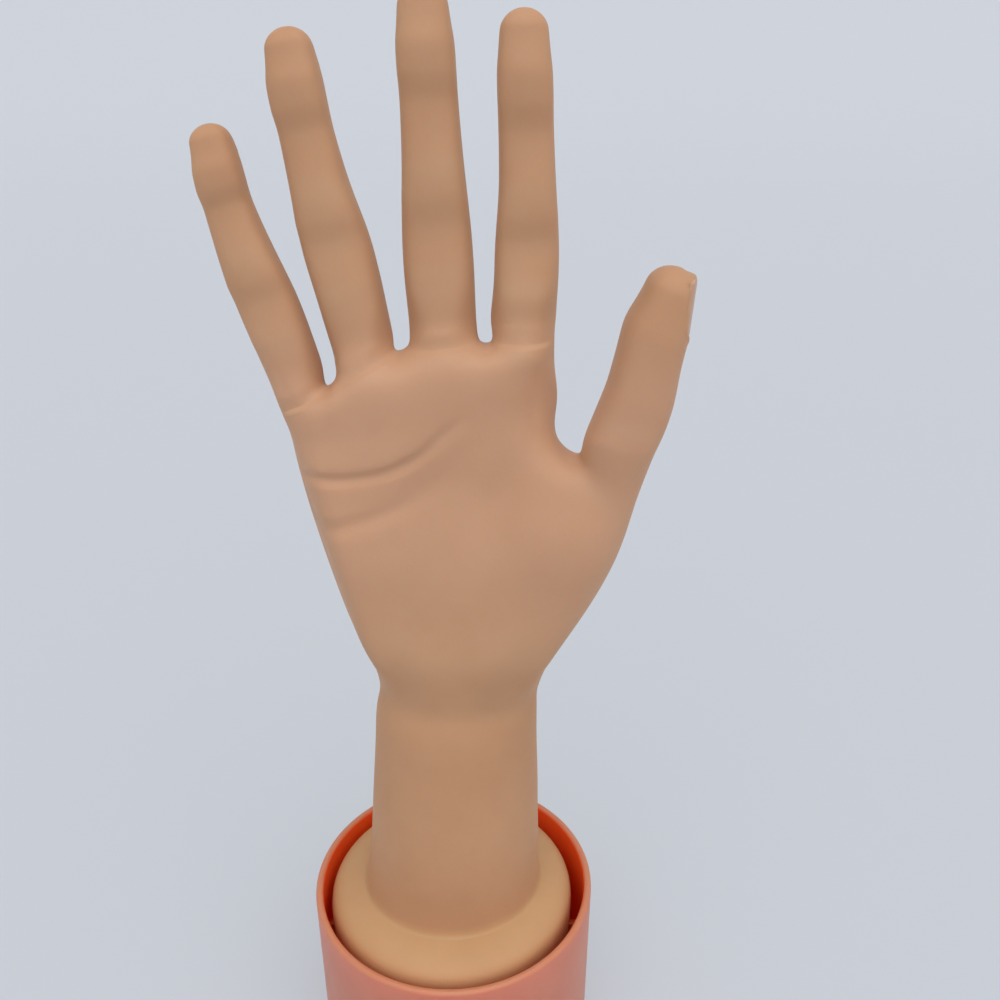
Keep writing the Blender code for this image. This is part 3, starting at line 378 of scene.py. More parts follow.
def palm_row(cage, row, roots):
    """One row of points round the palm: thumb side, back, little-finger side, palm."""
    (low_x, low_z), (high_x, high_z) = PALM_SIDES[row]
    share = (row + 1) / (len(PALM_SIDES) + 1)
    left = cage.points[roots[FAR_COLUMN]][0]
    right = cage.points[roots[0]][0]
    ring = []
    for k in range(COLUMNS):
        if k in (0, FAR_COLUMN):
            x, z = (high_x, high_z) if k == 0 else (low_x, low_z)
            ring.append(cage.add((x, SIDE_DEPTH, z)))
            continue
        even = 0.5 + 0.5 * math.cos(2 * math.pi * k / COLUMNS)
        top = (cage.points[roots[k]][0] - left) / (right - left)
        across = even + (top - even) * share
        depths = BACK_DEPTH[row] if k < FAR_COLUMN else PALM_DEPTH[row]
        depth = np.interp(across, (0.0, *DEPTH_AT, 1.0), (SIDE_DEPTH, *depths, SIDE_DEPTH))
        x = low_x + (high_x - low_x) * across
        z = low_z + (high_z - low_z) * across
        if row == len(PALM_SIDES) - 1:
            z = root_height(x) - (BACK_ROW_UNDER_ROOT if k < FAR_COLUMN else PALM_ROW_UNDER_ROOT)
        ring.append(cage.add((x, depth, z)))
    return ring


def halfway(cage, low, high):
    """A free ring midway between two."""
    pairs = [(Vector(cage.points[a]), Vector(cage.points[b])) for a, b in zip(low, high)]
    return [cage.add((a + b) / 2, True) for a, b in pairs]


def finger_tube(cage, name, ring, rings, zone_of):
    """Rings of eight points from the root ring to the closed tip."""
    for distance, half, palm_side, back_side, shift in rings:
        place = finger_frame(name, distance)
        above = []
        for side, depth in RING_SHAPE:
            deep = back_side if depth > 0 else palm_side
            above.append(cage.add(place @ Vector((side * half + shift, depth * deep, 0.0))))
        if distance == rings[0][0]:
            between = halfway(cage, ring, above)
            cage.bridge(ring, between, zone_of(distance))
            ring = between
        cage.bridge(ring, above, zone_of(distance))
        ring = above
    zone = zone_of(finger_length(name))
    for corners in ((0, 1, 2, 3), (0, 3, 4, 7), (4, 5, 6, 7)):
        cage.face([ring[i] for i in corners], zone)


def doubled(rings):
    """A ring between each two, on a smooth curve through all of them."""
    values = np.array(rings)
    made = [tuple(values[0])]
    for i in range(1, len(values)):
        before = values[max(i - 2, 0)]
        after = values[min(i + 1, len(values) - 1)]
        middle = (9 * (values[i - 1] + values[i]) - before - after) / 16
        middle[0] = (values[i - 1][0] + values[i][0]) / 2
        made += [tuple(middle), tuple(values[i])]
    return made


def domed(rings, length):
    """The rings, and a round end on the last of them."""
    last = rings[-1]
    made = list(rings)
    for angle in TIP_ANGLES:
        rise = math.sin(math.radians(angle)) * (length - last[0])
        size = math.cos(math.radians(angle))
        made.append((last[0] + rise, *(size * value for value in last[1:4]), last[4]))
    return made


def zone_picker(stops, last):
    def pick(distance):
        for stop, zone in stops:
            if distance <= stop + 0.01:
                return zone
        return last
    return pick


def hand_cage():
    cage = Cage()
    rings = {name: root_ring(cage, name) for name in FINGER_ORDER}
    roots = [rings["index"][0]]
    for name in FINGER_ORDER:
        roots += [rings[name][1], rings[name][2], rings[name][3]]
    roots.append(rings["little"][4])
    for name in reversed(FINGER_ORDER):
        roots += [rings[name][5], rings[name][6], rings[name][7]]
    below = None
    for oval in POCKET_RINGS + FLANGE_RINGS + FOREARM_RINGS + (WRIST_RING,):
        ring = oval_ring(cage, *oval)
        if below:
            cage.bridge(below, ring, "forearm")
        below = ring
    hole = {}
    thumb_rows = {
        3: ("front_low", "low", "back_low"), 4: ("front", None, "back"),
        5: ("front_top", "top", "back_top"),
    }
    for row in range(len(PALM_SIDES)):
        ring = palm_row(cage, row, roots)
        if row in thumb_rows:
            for k, where in zip((COLUMNS - 1, 0, 1), thumb_rows[row]):
                if where:
                    cage.points[ring[k]] = THUMB_HOLE[where]
                    cage.loose.add(ring[k])
                    hole[where] = ring[k]
        zone = "forearm" if row < PALM_PIECE_ROW else "palm"
        cage.bridge(below, ring, zone, skip=(0, COLUMNS - 1) if row in (4, 5) else ())
        below = ring
    between = halfway(cage, below, roots)
    cage.bridge(below, between, "palm")
    cage.bridge(between, roots, "palm")
    for near, far in zip(FINGER_ORDER, FINGER_ORDER[1:]):
        a, b = rings[near], rings[far]
        cage.face((b[1], b[0], a[4], a[3]), "palm")
        cage.face((b[0], b[7], a[5], a[4]), "palm")
    for name in FINGER_ORDER:
        plain = FINGERS[name]["rings"]
        stops = ((plain[BASE_RING][0], name + "_base"), (plain[MIDDLE_RING][0], name + "_mid"))
        tube = domed(doubled(plain[:-1]), finger_length(name))
        finger_tube(cage, name, rings[name], tube, zone_picker(stops, name + "_tip"))
    order = ("front", "front_low", "low", "back_low", "back", "back_top", "top", "front_top")
    stops = ((THUMB["rings"][BASE_RING][0], "thumb_base"),)
    tube = domed(doubled(THUMB["rings"][:-1]), THUMB["length"])
    finger_tube(cage, "thumb", [hole[k] for k in order], tube, zone_picker(stops, "thumb_tip"))
    return drop_loose(cage)


def drop_loose(cage):
    """Leaves out points that no face uses, such as the one inside the thumb's root."""
    used = sorted({i for face in cage.faces for i in face})
    place = {old: new for new, old in enumerate(used)}
    cage.points = [cage.points[i] for i in used]
    cage.faces = [tuple(place[i] for i in face) for face in cage.faces]
    cage.loose = {place[i] for i in cage.loose if i in place}
    return cage


def fitted(cage):
    """Moves the control points until the smooth surface passes through the points given."""
    target = np.array(cage.points)
    count = len(target)
    edges = {}
    diagonals = [[] for _ in range(count)]
    for face in cage.faces:
        for i in range(4):
            a, b = face[i], face[(i + 1) % 4]
            edges[(min(a, b), max(a, b))] = edges.get((min(a, b), max(a, b)), 0) + 1
            diagonals[a].append(face[(i + 2) % 4])
    near = [[] for _ in range(count)]
    border = [[] for _ in range(count)]
    for (a, b), uses in edges.items():
        near[a].append(b)
        near[b].append(a)
        if uses == 1:
            border[a].append(b)
            border[b].append(a)
    weights = np.zeros((count, count))
    for i in range(count):
        if border[i]:
            weights[i, i] = 4 / 6
            weights[i, border[i]] = 1 / 6
            continue
        n = len(near[i])
        weights[i, i] = n * n / (n * (n + 5))
        for j in near[i]:
            weights[i, j] += 4 / (n * (n + 5))
        for j in diagonals[i]:
            weights[i, j] += 1 / (n * (n + 5))
    control = target.copy()
    pull = np.full((count, 1), FIRM_PULL)
    pull[sorted(cage.loose)] = LOOSE_PULL
    for _ in range(FIT_ROUNDS):
        control += pull * (target - weights @ control)
    return control


# The fine skin, in millimetres

class Skin:
    """The subdivided skin as arrays, before it is cut into pieces."""

    def __init__(self, names, points, faces, zones, levels):
        self.names = names
        mesh = bpy.data.meshes.new("cage")
        mesh.from_pydata(points.tolist(), [], faces)
        mark = mesh.attributes.new("zone", "INT", "FACE")
        mark.data.foreach_set("value", zones)
        obj = linked("cage", mesh)
        step = obj.modifiers.new("smooth", "SUBSURF")
        step.levels = levels
        step.render_levels = levels
        graph = bpy.context.evaluated_depsgraph_get()
        fine = bpy.data.meshes.new_from_object(obj.evaluated_get(graph))
        self.points = np.zeros(len(fine.vertices) * 3, np.float32)
        fine.vertices.foreach_get("co", self.points)
        self.points = self.points.reshape(-1, 3).astype(float)
        self.quads = np.zeros(len(fine.loops), np.int32)
        fine.loops.foreach_get("vertex_index", self.quads)
        self.quads = self.quads.reshape(-1, 4)
        self.zones = np.zeros(len(fine.polygons), np.int32)
        fine.attributes["zone"].data.foreach_get("value", self.zones)
        bpy.data.objects.remove(obj, do_unlink=True)
        bpy.data.meshes.remove(fine)
        bpy.data.meshes.remove(mesh)

    def normals(self):
        corners = self.points[self.quads]
        cross = np.cross(corners[:, 2] - corners[:, 0], corners[:, 3] - corners[:, 1])
        total = gathered(self.quads.ravel(), np.repeat(cross, 4, axis=0), len(self.points))
        return total / np.maximum(np.linalg.norm(total, axis=1, keepdims=True), 1e-9)

    def of_zones(self, *zones):
        """True for each point on a face of these zones."""
        wanted = [self.names.index(zone) for zone in zones]
        found = np.zeros(len(self.points), bool)
        found[self.quads[np.isin(self.zones, wanted)]] = True
        return found

    def push(self, amount):
        """Moves each point along its normal."""
        self.points += self.normals() * amount[:, None]

    def relax(self, weight, rounds, along=(1.0, 1.0, 1.0)):
        """Evens the surface out where the weight is above zero, along some axes or along all."""
        weight = np.where(weight > 0.001, weight, 0.0)
        edges = np.vstack([self.quads[:, (k, (k + 1) % 4)] for k in range(4)])
        edges = edges[weight[edges].any(axis=1)]
        edges = np.unique(np.sort(edges, axis=1), axis=0)
        edges = np.vstack([edges, edges[:, ::-1]])
        count = np.maximum(np.bincount(edges[:, 0], minlength=len(self.points)), 1)
        for _ in range(rounds):
            total = gathered(edges[:, 0], self.points[edges[:, 1]], len(self.points))
            self.points += weight[:, None] * (total / count[:, None] - self.points) * along

    def seam_steps(self, most):
        """How many edges each point is from the nearest seam between pieces, up to most."""
        steps = np.full(len(self.points), most, float)
        pieces = np.full(len(self.points), -1)
        for k in range(4):
            here = self.quads[:, k]
            pieces[here] = np.where(pieces[here] < 0, self.zones, pieces[here])
        for k in range(4):
            here = self.quads[:, k]
            steps[here[pieces[here] != self.zones]] = 0.0
        for _ in range(most):
            lowest = steps[self.quads].min(axis=1) + 1.0
            for k in range(4):
                np.minimum.at(steps, self.quads[:, k], lowest)
        return steps


def gathered(index, rows, count):
    """The sum of the rows that share an index."""
    return np.stack([np.bincount(index, rows[:, k], count) for k in range(3)], axis=1)


def smooth(value, low, high):
    share = np.clip((value - low) / (high - low), 0.0, 1.0)
    return share * share * (3 - 2 * share)


def band(value, start, full, fade, end):
    """Rises from 0 to 1 between start and full, and falls again between fade and end."""
    return smooth(value, start, full) * (1 - smooth(value, fade, end))


def bell(value, width):
    return np.exp(-((value / width) ** 2))


def rounded(line, steps=8):
    """A smooth curve through the points of a line."""
    points = np.array([line[0], *line, line[-1]], float)
    share = np.linspace(0.0, 1.0, steps, endpoint=False)[:, None]
    made = []
    for a, b, c, d in zip(points, points[1:], points[2:], points[3:]):
        bend = 2 * a - 5 * b + 4 * c - d + share * (3 * (b - c) + d - a)
        made.append(b + 0.5 * share * (c - a + share * bend))
    return np.vstack(made + [points[-1:]])


def beside(points, line):
    """Distance from a line on the palm, positive on its left, and the share of the way along it."""
    curve = rounded(line)
    at = points[:, (0, 2)]
    best = np.full(len(at), np.inf)
    signed = np.zeros(len(at))
    share = np.zeros(len(at))
    for i, (a, b) in enumerate(zip(curve, curve[1:])):
        way = b - a
        part = np.clip(((at - a) @ way) / (way @ way), 0.0, 1.0)
        gap = at - (a + part[:, None] * way)
        far = np.hypot(gap[:, 0], gap[:, 1])
        nearer = far < best
        best = np.where(nearer, far, best)
        side = np.sign(way[0] * (at[:, 1] - a[1]) - way[1] * (at[:, 0] - a[0]))
        signed = np.where(nearer, side * far, signed)
        share = np.where(nearer, (i + part) / (len(curve) - 1), share)
    return signed, share


def ledge_under_fingers(skin, front, hand):
    """The pads under the fingers end in a ledge, and the skin above it is full again."""
    facing = front * smooth(-skin.points[:, 1], 1.5, 6.5) * hand
    away, _ = beside(skin.points, LEDGE)
    pad = band(away, -20.0, -3.0, -1.0, 0.3)
    root = band(away, -0.6, 4.6, 5.5, 16.0)
    beyond = skin.points[:, 0] - PALM_MIDDLE
    most = 1.2 + 0.7 * bell(beyond, 16.0)
    skin.points[:, 1] -= facing * (0.8 * pad + most * root)
    sides = smooth(np.abs(skin.normals()[:, 0]), 0.3, 0.9) * smooth(np.abs(beyond), 27.0, 31.0)
    skin.push(0.9 * hand * sides * bell(skin.points[:, 2] - 231.0, 9.0))


def crease(points, line, groove, fold, lip):
    """A line in the palm: a groove (depth, place, width) between a fold and a lip (height, top, end)."""
    away, share = beside(points, line)
    depth, place, width = groove
    amount = -depth * bell(away - place, width)
    for value, (height, top, end) in ((away, fold), (-away, lip)):
        amount += height * band(value, 0.0, top, top, end)
    return amount, share


def shape_palm(skin):
    """The ledge under the fingers, the lines of the palm and the mound under the thumb."""
    lengths = [name + zone for name in FINGER_ORDER for zone in ("_base", "_mid")]
    front = smooth(-skin.normals()[:, 1], 0.1, 0.6)
    ledge_under_fingers(skin, front, skin.of_zones("palm", *lengths))
    height = skin.points[:, 2]
    thumb, _ = finger_view(skin, "thumb")
    inner = np.where(skin.of_zones("thumb_base"), 1 - smooth(thumb[:, 2], 0.0, 9.0), 1.0)
    facing = inner * smooth(-skin.points[:, 1], 3.0, 12.0)
    facing = facing * skin.of_zones("palm", "forearm", "thumb_base")
    hollow = 1.1 * bell(height - 151.0, 9.0) - 2.3 * bell(height - 196.0, 18.0)
    skin.points[:, 1] += facing * hollow
    facing = front * inner * smooth(-skin.points[:, 1], 2.0, 7.0)
    facing = facing * skin.of_zones("palm", "thumb_base")
    heart, share = crease(skin.points, HEART_LINE, (0.45, 0.4, 1.8), (0.8, 2.4, 12.0), (0.5, 2.4, 8.0))
    heart *= smooth(share, 1.0, 0.55) * (0.5 + 0.5 * smooth(share, 0.05, 0.2))
    head, share = crease(skin.points, HEAD_LINE, (0.45, 0.0, 2.6), (0.35, 3.5, 10.0), (0.3, 3.5, 10.0))
    head *= smooth(share, 0.95, 0.4) * smooth(share, 0.0, 0.2)
    away, share = beside(skin.points, THUMB_LINE)
    valley = 1.2 * bell(away, 5.5) * smooth(share, 0.0, 0.25) * smooth(share, 1.0, 0.5)
    gap = np.hypot(skin.points[:, 0] - MOUND[0], height - MOUND[1])
    skin.push((heart + head - valley + 2.0 * bell(gap, 13.0)) * facing)


def shape_back(skin):
    """Knuckles, and the cords that run from them to the wrist."""
    back = smooth(skin.normals()[:, 1], 0.2, 0.7) * smooth(skin.points[:, 1], 2.0, 7.0)
    amount = np.zeros(len(skin.points))
    for name in FINGER_ORDER:
        x, z = FINGERS[name]["root"]
        gap = np.hypot(skin.points[:, 0] - x, (skin.points[:, 2] - z + 7.0) * 0.8)
        amount += 0.9 * bell(gap, 6.5)
        cord = ((x, z - 12.0), (0.6 * x + 1.2, 205.0), (0.3 * x + 2.4, 168.0))
        away, share = beside(skin.points, cord)
        amount += 0.4 * bell(away, 2.4) * smooth(share, 0.0, 0.15) * smooth(share, 0.95, 0.35)
    zones = ["palm"] + [name + "_base" for name in FINGER_ORDER]
    skin.push(amount * back * skin.of_zones(*zones))


def finger_view(skin, name):
    """The skin's points and normals seen from a finger's root: across, to the back, along."""
    place = finger_frame(name, 0.0)
    turn = np.array(place.to_3x3())
    return (skin.points - np.array(place.translation)) @ turn, skin.normals() @ turn


def shape_fingers(skin):
    """Each length of a finger is fullest just above its joint. Folds cross the back of a joint."""
    for name in FINGER_ORDER:
        data = FINGERS[name]
        mine = skin.of_zones(name + "_base", name + "_mid", name + "_tip")
        local, normals = finger_view(skin, name)
        palm_side = smooth(-normals[:, 1], 0.0, 0.7)
        back_side = smooth(normals[:, 1], 0.2, 0.7)
        amount = np.zeros(len(skin.points))
        stops = (data["middle"], data["end"], finger_length(name))
        for low, high in zip(stops, stops[1:]):
            share = (local[:, 2] - low) / (high - low)
            within = (share > 0) & (share < 1)
            amount += within * palm_side * 0.9 * (smooth(share, 0.0, 0.3) - np.clip(share, 0, 1))
        for joint, ridges in (("middle", 0.16), ("end", 0.1)):
            away = local[:, 2] - data[joint]
            waves = np.cos(away * 2 * math.pi / FOLD_SPACING)
            amount += back_side * ridges * waves * bell(away, 3.6)
        skin.push(amount * mine)


def shape_foot(skin):
    """Sets the foot of the skin a little off the middle of the cup."""
    low = 1 - smooth(skin.points[:, 2], 62.0, 90.0)
    skin.points[:, 0] += FLANGE_ASIDE[0] * low
    skin.points[:, 1] += FLANGE_ASIDE[1] * low


def nail_place(name):
    """Width, length, distance of the nail's root from the finger's, and its height at both ends."""
    width, length = NAILS[name]
    if name == "thumb":
        return width, length, finger_length(name) - length - THUMB_NAIL_SHORT, THUMB_NAIL_TOP
    rings = FINGERS[name]["rings"]
    top = (rings[5][3] + NAIL_PROUD[0], rings[7][3] + NAIL_PROUD[1])
    return width, length, finger_length(name) - length - NAIL_SHORT, top


def nail_shift(name):
    """How far the nail lies beside the finger's axis, as the flesh under it does."""
    _, length, start, _ = nail_place(name)
    rings = THUMB["rings"] if name == "thumb" else FINGERS[name]["rings"]
    return np.interp(start + length / 2, [ring[0] for ring in rings], [ring[4] for ring in rings])


def nail_height(across, along, width, length, top):
    return top[0] + (top[1] - top[0]) * along / length - NAIL_BEND * across * across / width


def outside_nail(across, along, width, length):
    """Distance from the rim of a nail, negative on the nail."""
    half = width / 2 * np.interp(along / length, *NAIL_WIDTHS)
    bend = np.clip(np.abs(across) / half, 0.0, 1.3) ** 2
    aside = np.abs(across) - half
    ends = np.maximum(NAIL_ROOT_ROUND * bend - along, along - length + NAIL_EDGE_ROUND * bend)
    corner = np.hypot(np.maximum(aside, 0.0), np.maximum(ends, 0.0))
    return np.where((aside > 0) & (ends > 0), corner, np.maximum(aside, ends))


def shape_nails(skin):
    """A bed for each nail, and a low fold of skin round its sides and root."""
    for name in NAILS:
        width, length, start, top = nail_place(name)
        local, normals = finger_view(skin, name)
        along = local[:, 2] - start
        local[:, 0] -= nail_shift(name)
        back = skin.of_zones(name + "_tip") * smooth(normals[:, 1], 0.1, 0.5)
        away = outside_nail(local[:, 0], along, width, length)
        closed = 1 - smooth(along, length - 3.5, length - 0.5)
        skin.push(back * closed * 0.25 * bell(away - 1.0, 0.9) * (away > -1.0))
        bed = nail_height(local[:, 0], along, width, length, top) - NAIL_SINK
        depth = (bed - local[:, 1]) * back * (1 - smooth(away, 0.0, 0.45))
        turn = np.array(finger_frame(name, 0.0).to_3x3())
        skin.points += depth[:, None] * turn[:, 1]


def even_out(skin):
    """Takes the corners of the cage out of the palm, the finger roots and the ball of the thumb."""
    facing = -skin.normals()[:, 1]
    thumb, _ = finger_view(skin, "thumb")
    gap = np.linalg.norm(skin.points - np.array(THUMB_HOLE["front"]), axis=1)
    near = bell(gap, 16.0) * smooth(facing, 0.2, 0.7) * (1 - smooth(thumb[:, 2], 1.0, 9.0))
    away, _ = beside(skin.points, LEDGE)
    x, height = skin.points[:, 0], skin.points[:, 2]
    pads = smooth(height, 190.0, 206.0) + 0.35 * smooth(height, 160.0, 175.0)
    pads *= (1 - smooth(away, -6.0, -1.0)) * (1 - smooth(x, 22.0, 34.0))
    front = smooth(-skin.points[:, 1], -1.0, 5.0) * smooth(facing, 0.1, 0.5)
    edge = 0.6 * smooth(x, 26.0, 34.0) * band(height, 156.0, 170.0, 196.0, 208.0)
    inside = skin.of_zones("palm", "thumb_base")
    skin.relax(inside * np.clip(near + pads * front + edge, 0.0, 1.0) * RELAX, RELAX_ROUNDS)
    roots = skin.of_zones("palm", *[name + "_base" for name in FINGER_ORDER])
    facing = smooth(-skin.normals()[:, 1], 0.1, 0.5)
    away, _ = beside(skin.points, LEDGE)
    skin.relax(roots * bell(away - 1.0, 7.0) * facing * RELAX, RELAX_ROUNDS)
    gap = np.linalg.norm(skin.points - np.array(LEDGE_CORNER), axis=1)
    skin.relax(roots * (skin.points[:, 0] < -27.0) * bell(gap, 10.0) * RELAX, CORNER_ROUNDS)
    x, height = skin.points[:, 0], skin.points[:, 2]
    ball = smooth(x, 16.0, 26.0) * band(height, 148.0, 164.0, 212.0, 226.0)
    ball *= 1 - smooth(thumb[:, 2], 6.0, 16.0)
    skin.relax(inside * ball * RELAX, RELAX_ROUNDS, along=(0.0, 1.0, 0.0))


def build_skin(levels):
    cage = hand_cage()
    names = sorted(set(cage.zones))
    zones = [names.index(zone) for zone in cage.zones]
    coarse = Skin(names, fitted(cage), cage.faces, zones, COARSE_LEVELS)
    even_out(coarse)
    skin = Skin(names, coarse.points, coarse.quads.tolist(), coarse.zones, levels - COARSE_LEVELS)
    shape_palm(skin)
    shape_back(skin)
    shape_fingers(skin)
    shape_nails(skin)
    shape_foot(skin)
    return skin


def cut_piece(skin, zone):
    """One zone of the skin as an object, shaded as part of the whole."""
    quads = skin.quads[skin.zones == skin.names.index(zone)]
    used, index = np.unique(quads, return_inverse=True)
    mesh = bpy.data.meshes.new("skin_" + zone)
    mesh.from_pydata((skin.points[used] * MM).tolist(), [], index.reshape(-1, 4).tolist())
    mesh.shade_smooth()
    mesh.normals_split_custom_set_from_vertices(skin.shading[used].tolist())
    rest = mesh.attributes.new("rest", "FLOAT_VECTOR", "POINT")
    rest.data.foreach_set("vector", (skin.points[used] * MM).astype(np.float32).ravel())
    soft = mesh.attributes.new("soft", "FLOAT", "POINT")
    soft.data.foreach_set("value", skin.fade[used].astype(np.float32))
    obj = linked("skin_" + zone, mesh)
    mesh.materials.append(skin_material())
    return obj


def bend_skin(piece, name, bodies, low, high):
    """Sets a length of skin in place, unbent, and hides the frame's skin on the next body; name, low and
    high are not used.
    """
    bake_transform(piece)
    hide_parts(bodies[1] + "_skin")


def dress_skin():
    skins = {levels: build_skin(levels) for levels in SEAM_FADE}
    for levels, skin in skins.items():
        skin.shading = skin.normals()
        reach = SEAM_FADE[levels]
        skin.fade = smooth(skin.seam_steps(reach) / reach, 0.0, 1.0)
    arm = cut_piece(skins[PLAIN_LEVELS], "forearm")
    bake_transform(arm)
    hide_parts("forearm_skin")
    palm = cut_piece(skins[FINE_LEVELS], "palm")
    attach(palm, "palm")
    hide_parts("palm_skin")
    for name in FINGER_ORDER:
        bodies = ("palm", name + "_proximal", name + "_middle", name + "_distal")
        lengths = (
            ("_base", "base", FINE_LEVELS), ("_mid", "middle", PLAIN_LEVELS),
            ("_tip", "end", FINE_LEVELS),
        )
        for i, (zone, joint, levels) in enumerate(lengths):
            centre, reach = FINGERS[name][joint], BEND_REACH[joint]
            piece = cut_piece(skins[levels], name + zone)
            bend_skin(piece, name, bodies[i:i + 2], centre - reach, centre + reach)
    piece = cut_piece(skins[FINE_LEVELS], "thumb_base")
    bend_skin(piece, "thumb", ("palm", "thumb_proximal"), *THUMB_BASE_BEND)
    piece = cut_piece(skins[FINE_LEVELS], "thumb_tip")
    centre, reach = THUMB["end"], THUMB_END_REACH
    bend_skin(piece, "thumb", ("thumb_proximal", "thumb_distal"), centre - reach, centre + reach)


# Nails

def nail_piece(name):
    """A thin plate, bent across, with a round root and a soft edge."""
    width, length, start, top = nail_place(name)
    place = finger_frame(name, start)
    aside = nail_shift(name)
    share = np.linspace(0.0, 1.0, NAIL_STEPS + 1)
    bend = (2 * share - 1) ** 2
    bm = bmesh.new()
    sheets = []
    for under in (False, True):
        rows = []
        for i in range(NAIL_STEPS + 1):
            low = NAIL_ROOT_ROUND * bend
            along = low + (length - low - NAIL_EDGE_ROUND * bend) * share[i]
            across = (2 * share - 1) * width / 2 * np.interp(along / length, *NAIL_WIDTHS)
            height = nail_height(across, along, width, length, top)
            if under:
                height -= NAIL_THICK
            else:
                drop, wide = NAIL_ROUNDED
                inward = -outside_nail(across, along, width, length)
                height -= drop * (1 - smooth(inward, 0.0, wide))
            points = zip(across + aside, height, along)
            rows.append([bm.verts.new(place @ Vector(point) * MM) for point in points])
        sheets.append(rows)
    upper, lower = sheets
    for i in range(NAIL_STEPS):
        for j in range(NAIL_STEPS):
            bm.faces.new((upper[i][j], upper[i + 1][j], upper[i + 1][j + 1], upper[i][j + 1]))
            bm.faces.new((lower[i][j], lower[i][j + 1], lower[i + 1][j + 1], lower[i + 1][j]))
    last = NAIL_STEPS
    rim = [(0, j) for j in range(last)] + [(i, last) for i in range(last)]
    rim += [(last, j) for j in range(last, 0, -1)] + [(i, 0) for i in range(last, 0, -1)]
    for (a, b), (c, d) in zip(rim, rim[1:] + rim[:1]):
        bm.faces.new((upper[a][b], upper[c][d], lower[c][d], lower[a][b]))
    bmesh.ops.recalc_face_normals(bm, faces=bm.faces)
    return finished(bm, "nail_" + name, nail_material(), NAIL_CREASE)


def finished(bm, name, material, sharp):
    """An object from a bmesh, smooth but for edges sharper than the angle given."""
    mesh = bpy.data.meshes.new(name)
    bm.to_mesh(mesh)
    bm.free()
    mesh.shade_smooth()
    mesh.set_sharp_from_angle(angle=math.radians(sharp))
    mesh.materials.append(material)
    return linked(name, mesh)


def dress_nails():
    for name in NAILS:
        piece = nail_piece(name)
        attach(piece, name + "_distal")
        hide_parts(name + "_nail")


# Cup

def arc(centre, radius, start, end, steps):
    """Points on a round corner of a profile, angles in degrees."""
    made = []
    for i in range(steps + 1):
        angle = math.radians(start + (end - start) * i / steps)
        made.append((centre[0] + radius * math.cos(angle), centre[1] + radius * math.sin(angle)))
    return made


def cup_profile():
    inner = CUP_FOOT_RADIUS - CUP_WALL
    lip = CUP_WALL / 2
    hollow = 2.0
    flat = (12.0, 30.0)
    slant = CUP_RADIUS - CUP_FOOT_RADIUS
    profile = [(radius, 0.0) for radius in flat]
    profile += arc((CUP_FOOT_RADIUS - CUP_EDGE, CUP_EDGE), CUP_EDGE, -90.0, 0.0, 6)
    for share in (0.25, 0.5, 0.75):
        profile.append((CUP_FOOT_RADIUS + slant * share, CUP_HEIGHT * share))
    profile += arc((CUP_RADIUS - lip, CUP_HEIGHT - lip), lip, 0.0, 180.0, 12)
    for share in (0.75, 0.5, 0.25):
        profile.append((inner + slant * share, CUP_HEIGHT * share))
    profile += arc((inner - hollow, CUP_FLOOR + hollow), hollow, 0.0, -90.0, 6)
    return profile + [(radius, CUP_FLOOR) for radius in reversed(flat)]


def turned(profile, sides):
    """A closed solid turned about the z axis."""
    bm = bmesh.new()
    rings = []
    angles = [2 * math.pi / sides * k for k in range(sides)]
    for radius, height in profile:
        ring = [(radius * math.cos(a) * MM, radius * math.sin(a) * MM, height * MM) for a in angles]
        rings.append([bm.verts.new(point) for point in ring])
    ends = [bm.verts.new((0.0, 0.0, height * MM)) for _, height in (profile[0], profile[-1])]
    for k in range(sides):
        j = (k + 1) % sides
        for low, high in zip(rings, rings[1:]):
            bm.faces.new((low[k], low[j], high[j], high[k]))
        bm.faces.new((ends[0], rings[0][j], rings[0][k]))
        bm.faces.new((ends[1], rings[-1][k], rings[-1][j]))
    return bm


def rib_blocks():
    """The ribs on the cup's floor, each with soft upper edges."""
    bm = bmesh.new()
    far = CUP_FOOT_RADIUS - CUP_WALL / 2
    low = CUP_FLOOR - RIB_SINK
    size = (far - RIB_START, RIB_THICK, RIB_TOP - low)
    grow = Matrix.Diagonal((*(v * MM for v in size), 1.0))
    middle = Matrix.Translation(((far + RIB_START) / 2 * MM, 0.0, (RIB_TOP + low) / 2 * MM))
    above = (RIB_TOP - RIB_EDGE) * MM
    for i in range(RIB_COUNT):
        turn = Matrix.Rotation(2 * math.pi * i / RIB_COUNT, 4, "Z")
        made = bmesh.ops.create_cube(bm, size=1.0, matrix=turn @ middle @ grow)
        edges = dict.fromkeys(edge for vert in made["verts"] for edge in vert.link_edges)
        upper = [edge for edge in edges if all(vert.co.z > above for vert in edge.verts)]
        bmesh.ops.bevel(bm, geom=upper, offset=RIB_EDGE * MM, segments=3, affect="EDGES", profile=0.5)
    return bm


def dress_cup():
    cup = finished(turned(cup_profile(), CUP_SIDES), "cup", cup_material(), CUP_CREASE)
    ribs = finished(rib_blocks(), "ribs", cup_material(), CUP_CREASE)
    step = cup.modifiers.new("ribs", "BOOLEAN")
    step.operation = "UNION"
    step.solver = "EXACT"
    step.object = ribs
    graph = bpy.context.evaluated_depsgraph_get()
    mesh = bpy.data.meshes.new_from_object(cup.evaluated_get(graph))
    cup.modifiers.clear()
    cup.data = mesh
    mesh.shade_smooth()
    mesh.set_sharp_from_angle(angle=math.radians(CUP_CREASE))
    bpy.data.objects.remove(ribs, do_unlink=True)
    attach(cup, "base")
    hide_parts("base_cup")


# Materials

def colour(*srgb):
    """A linear colour from 0 to 255 screen values."""
    linear = [((v / 255 + 0.055) / 1.055) ** 2.4 if v > 10 else v / 255 / 12.92 for v in srgb]
    return (*linear, 1.0)


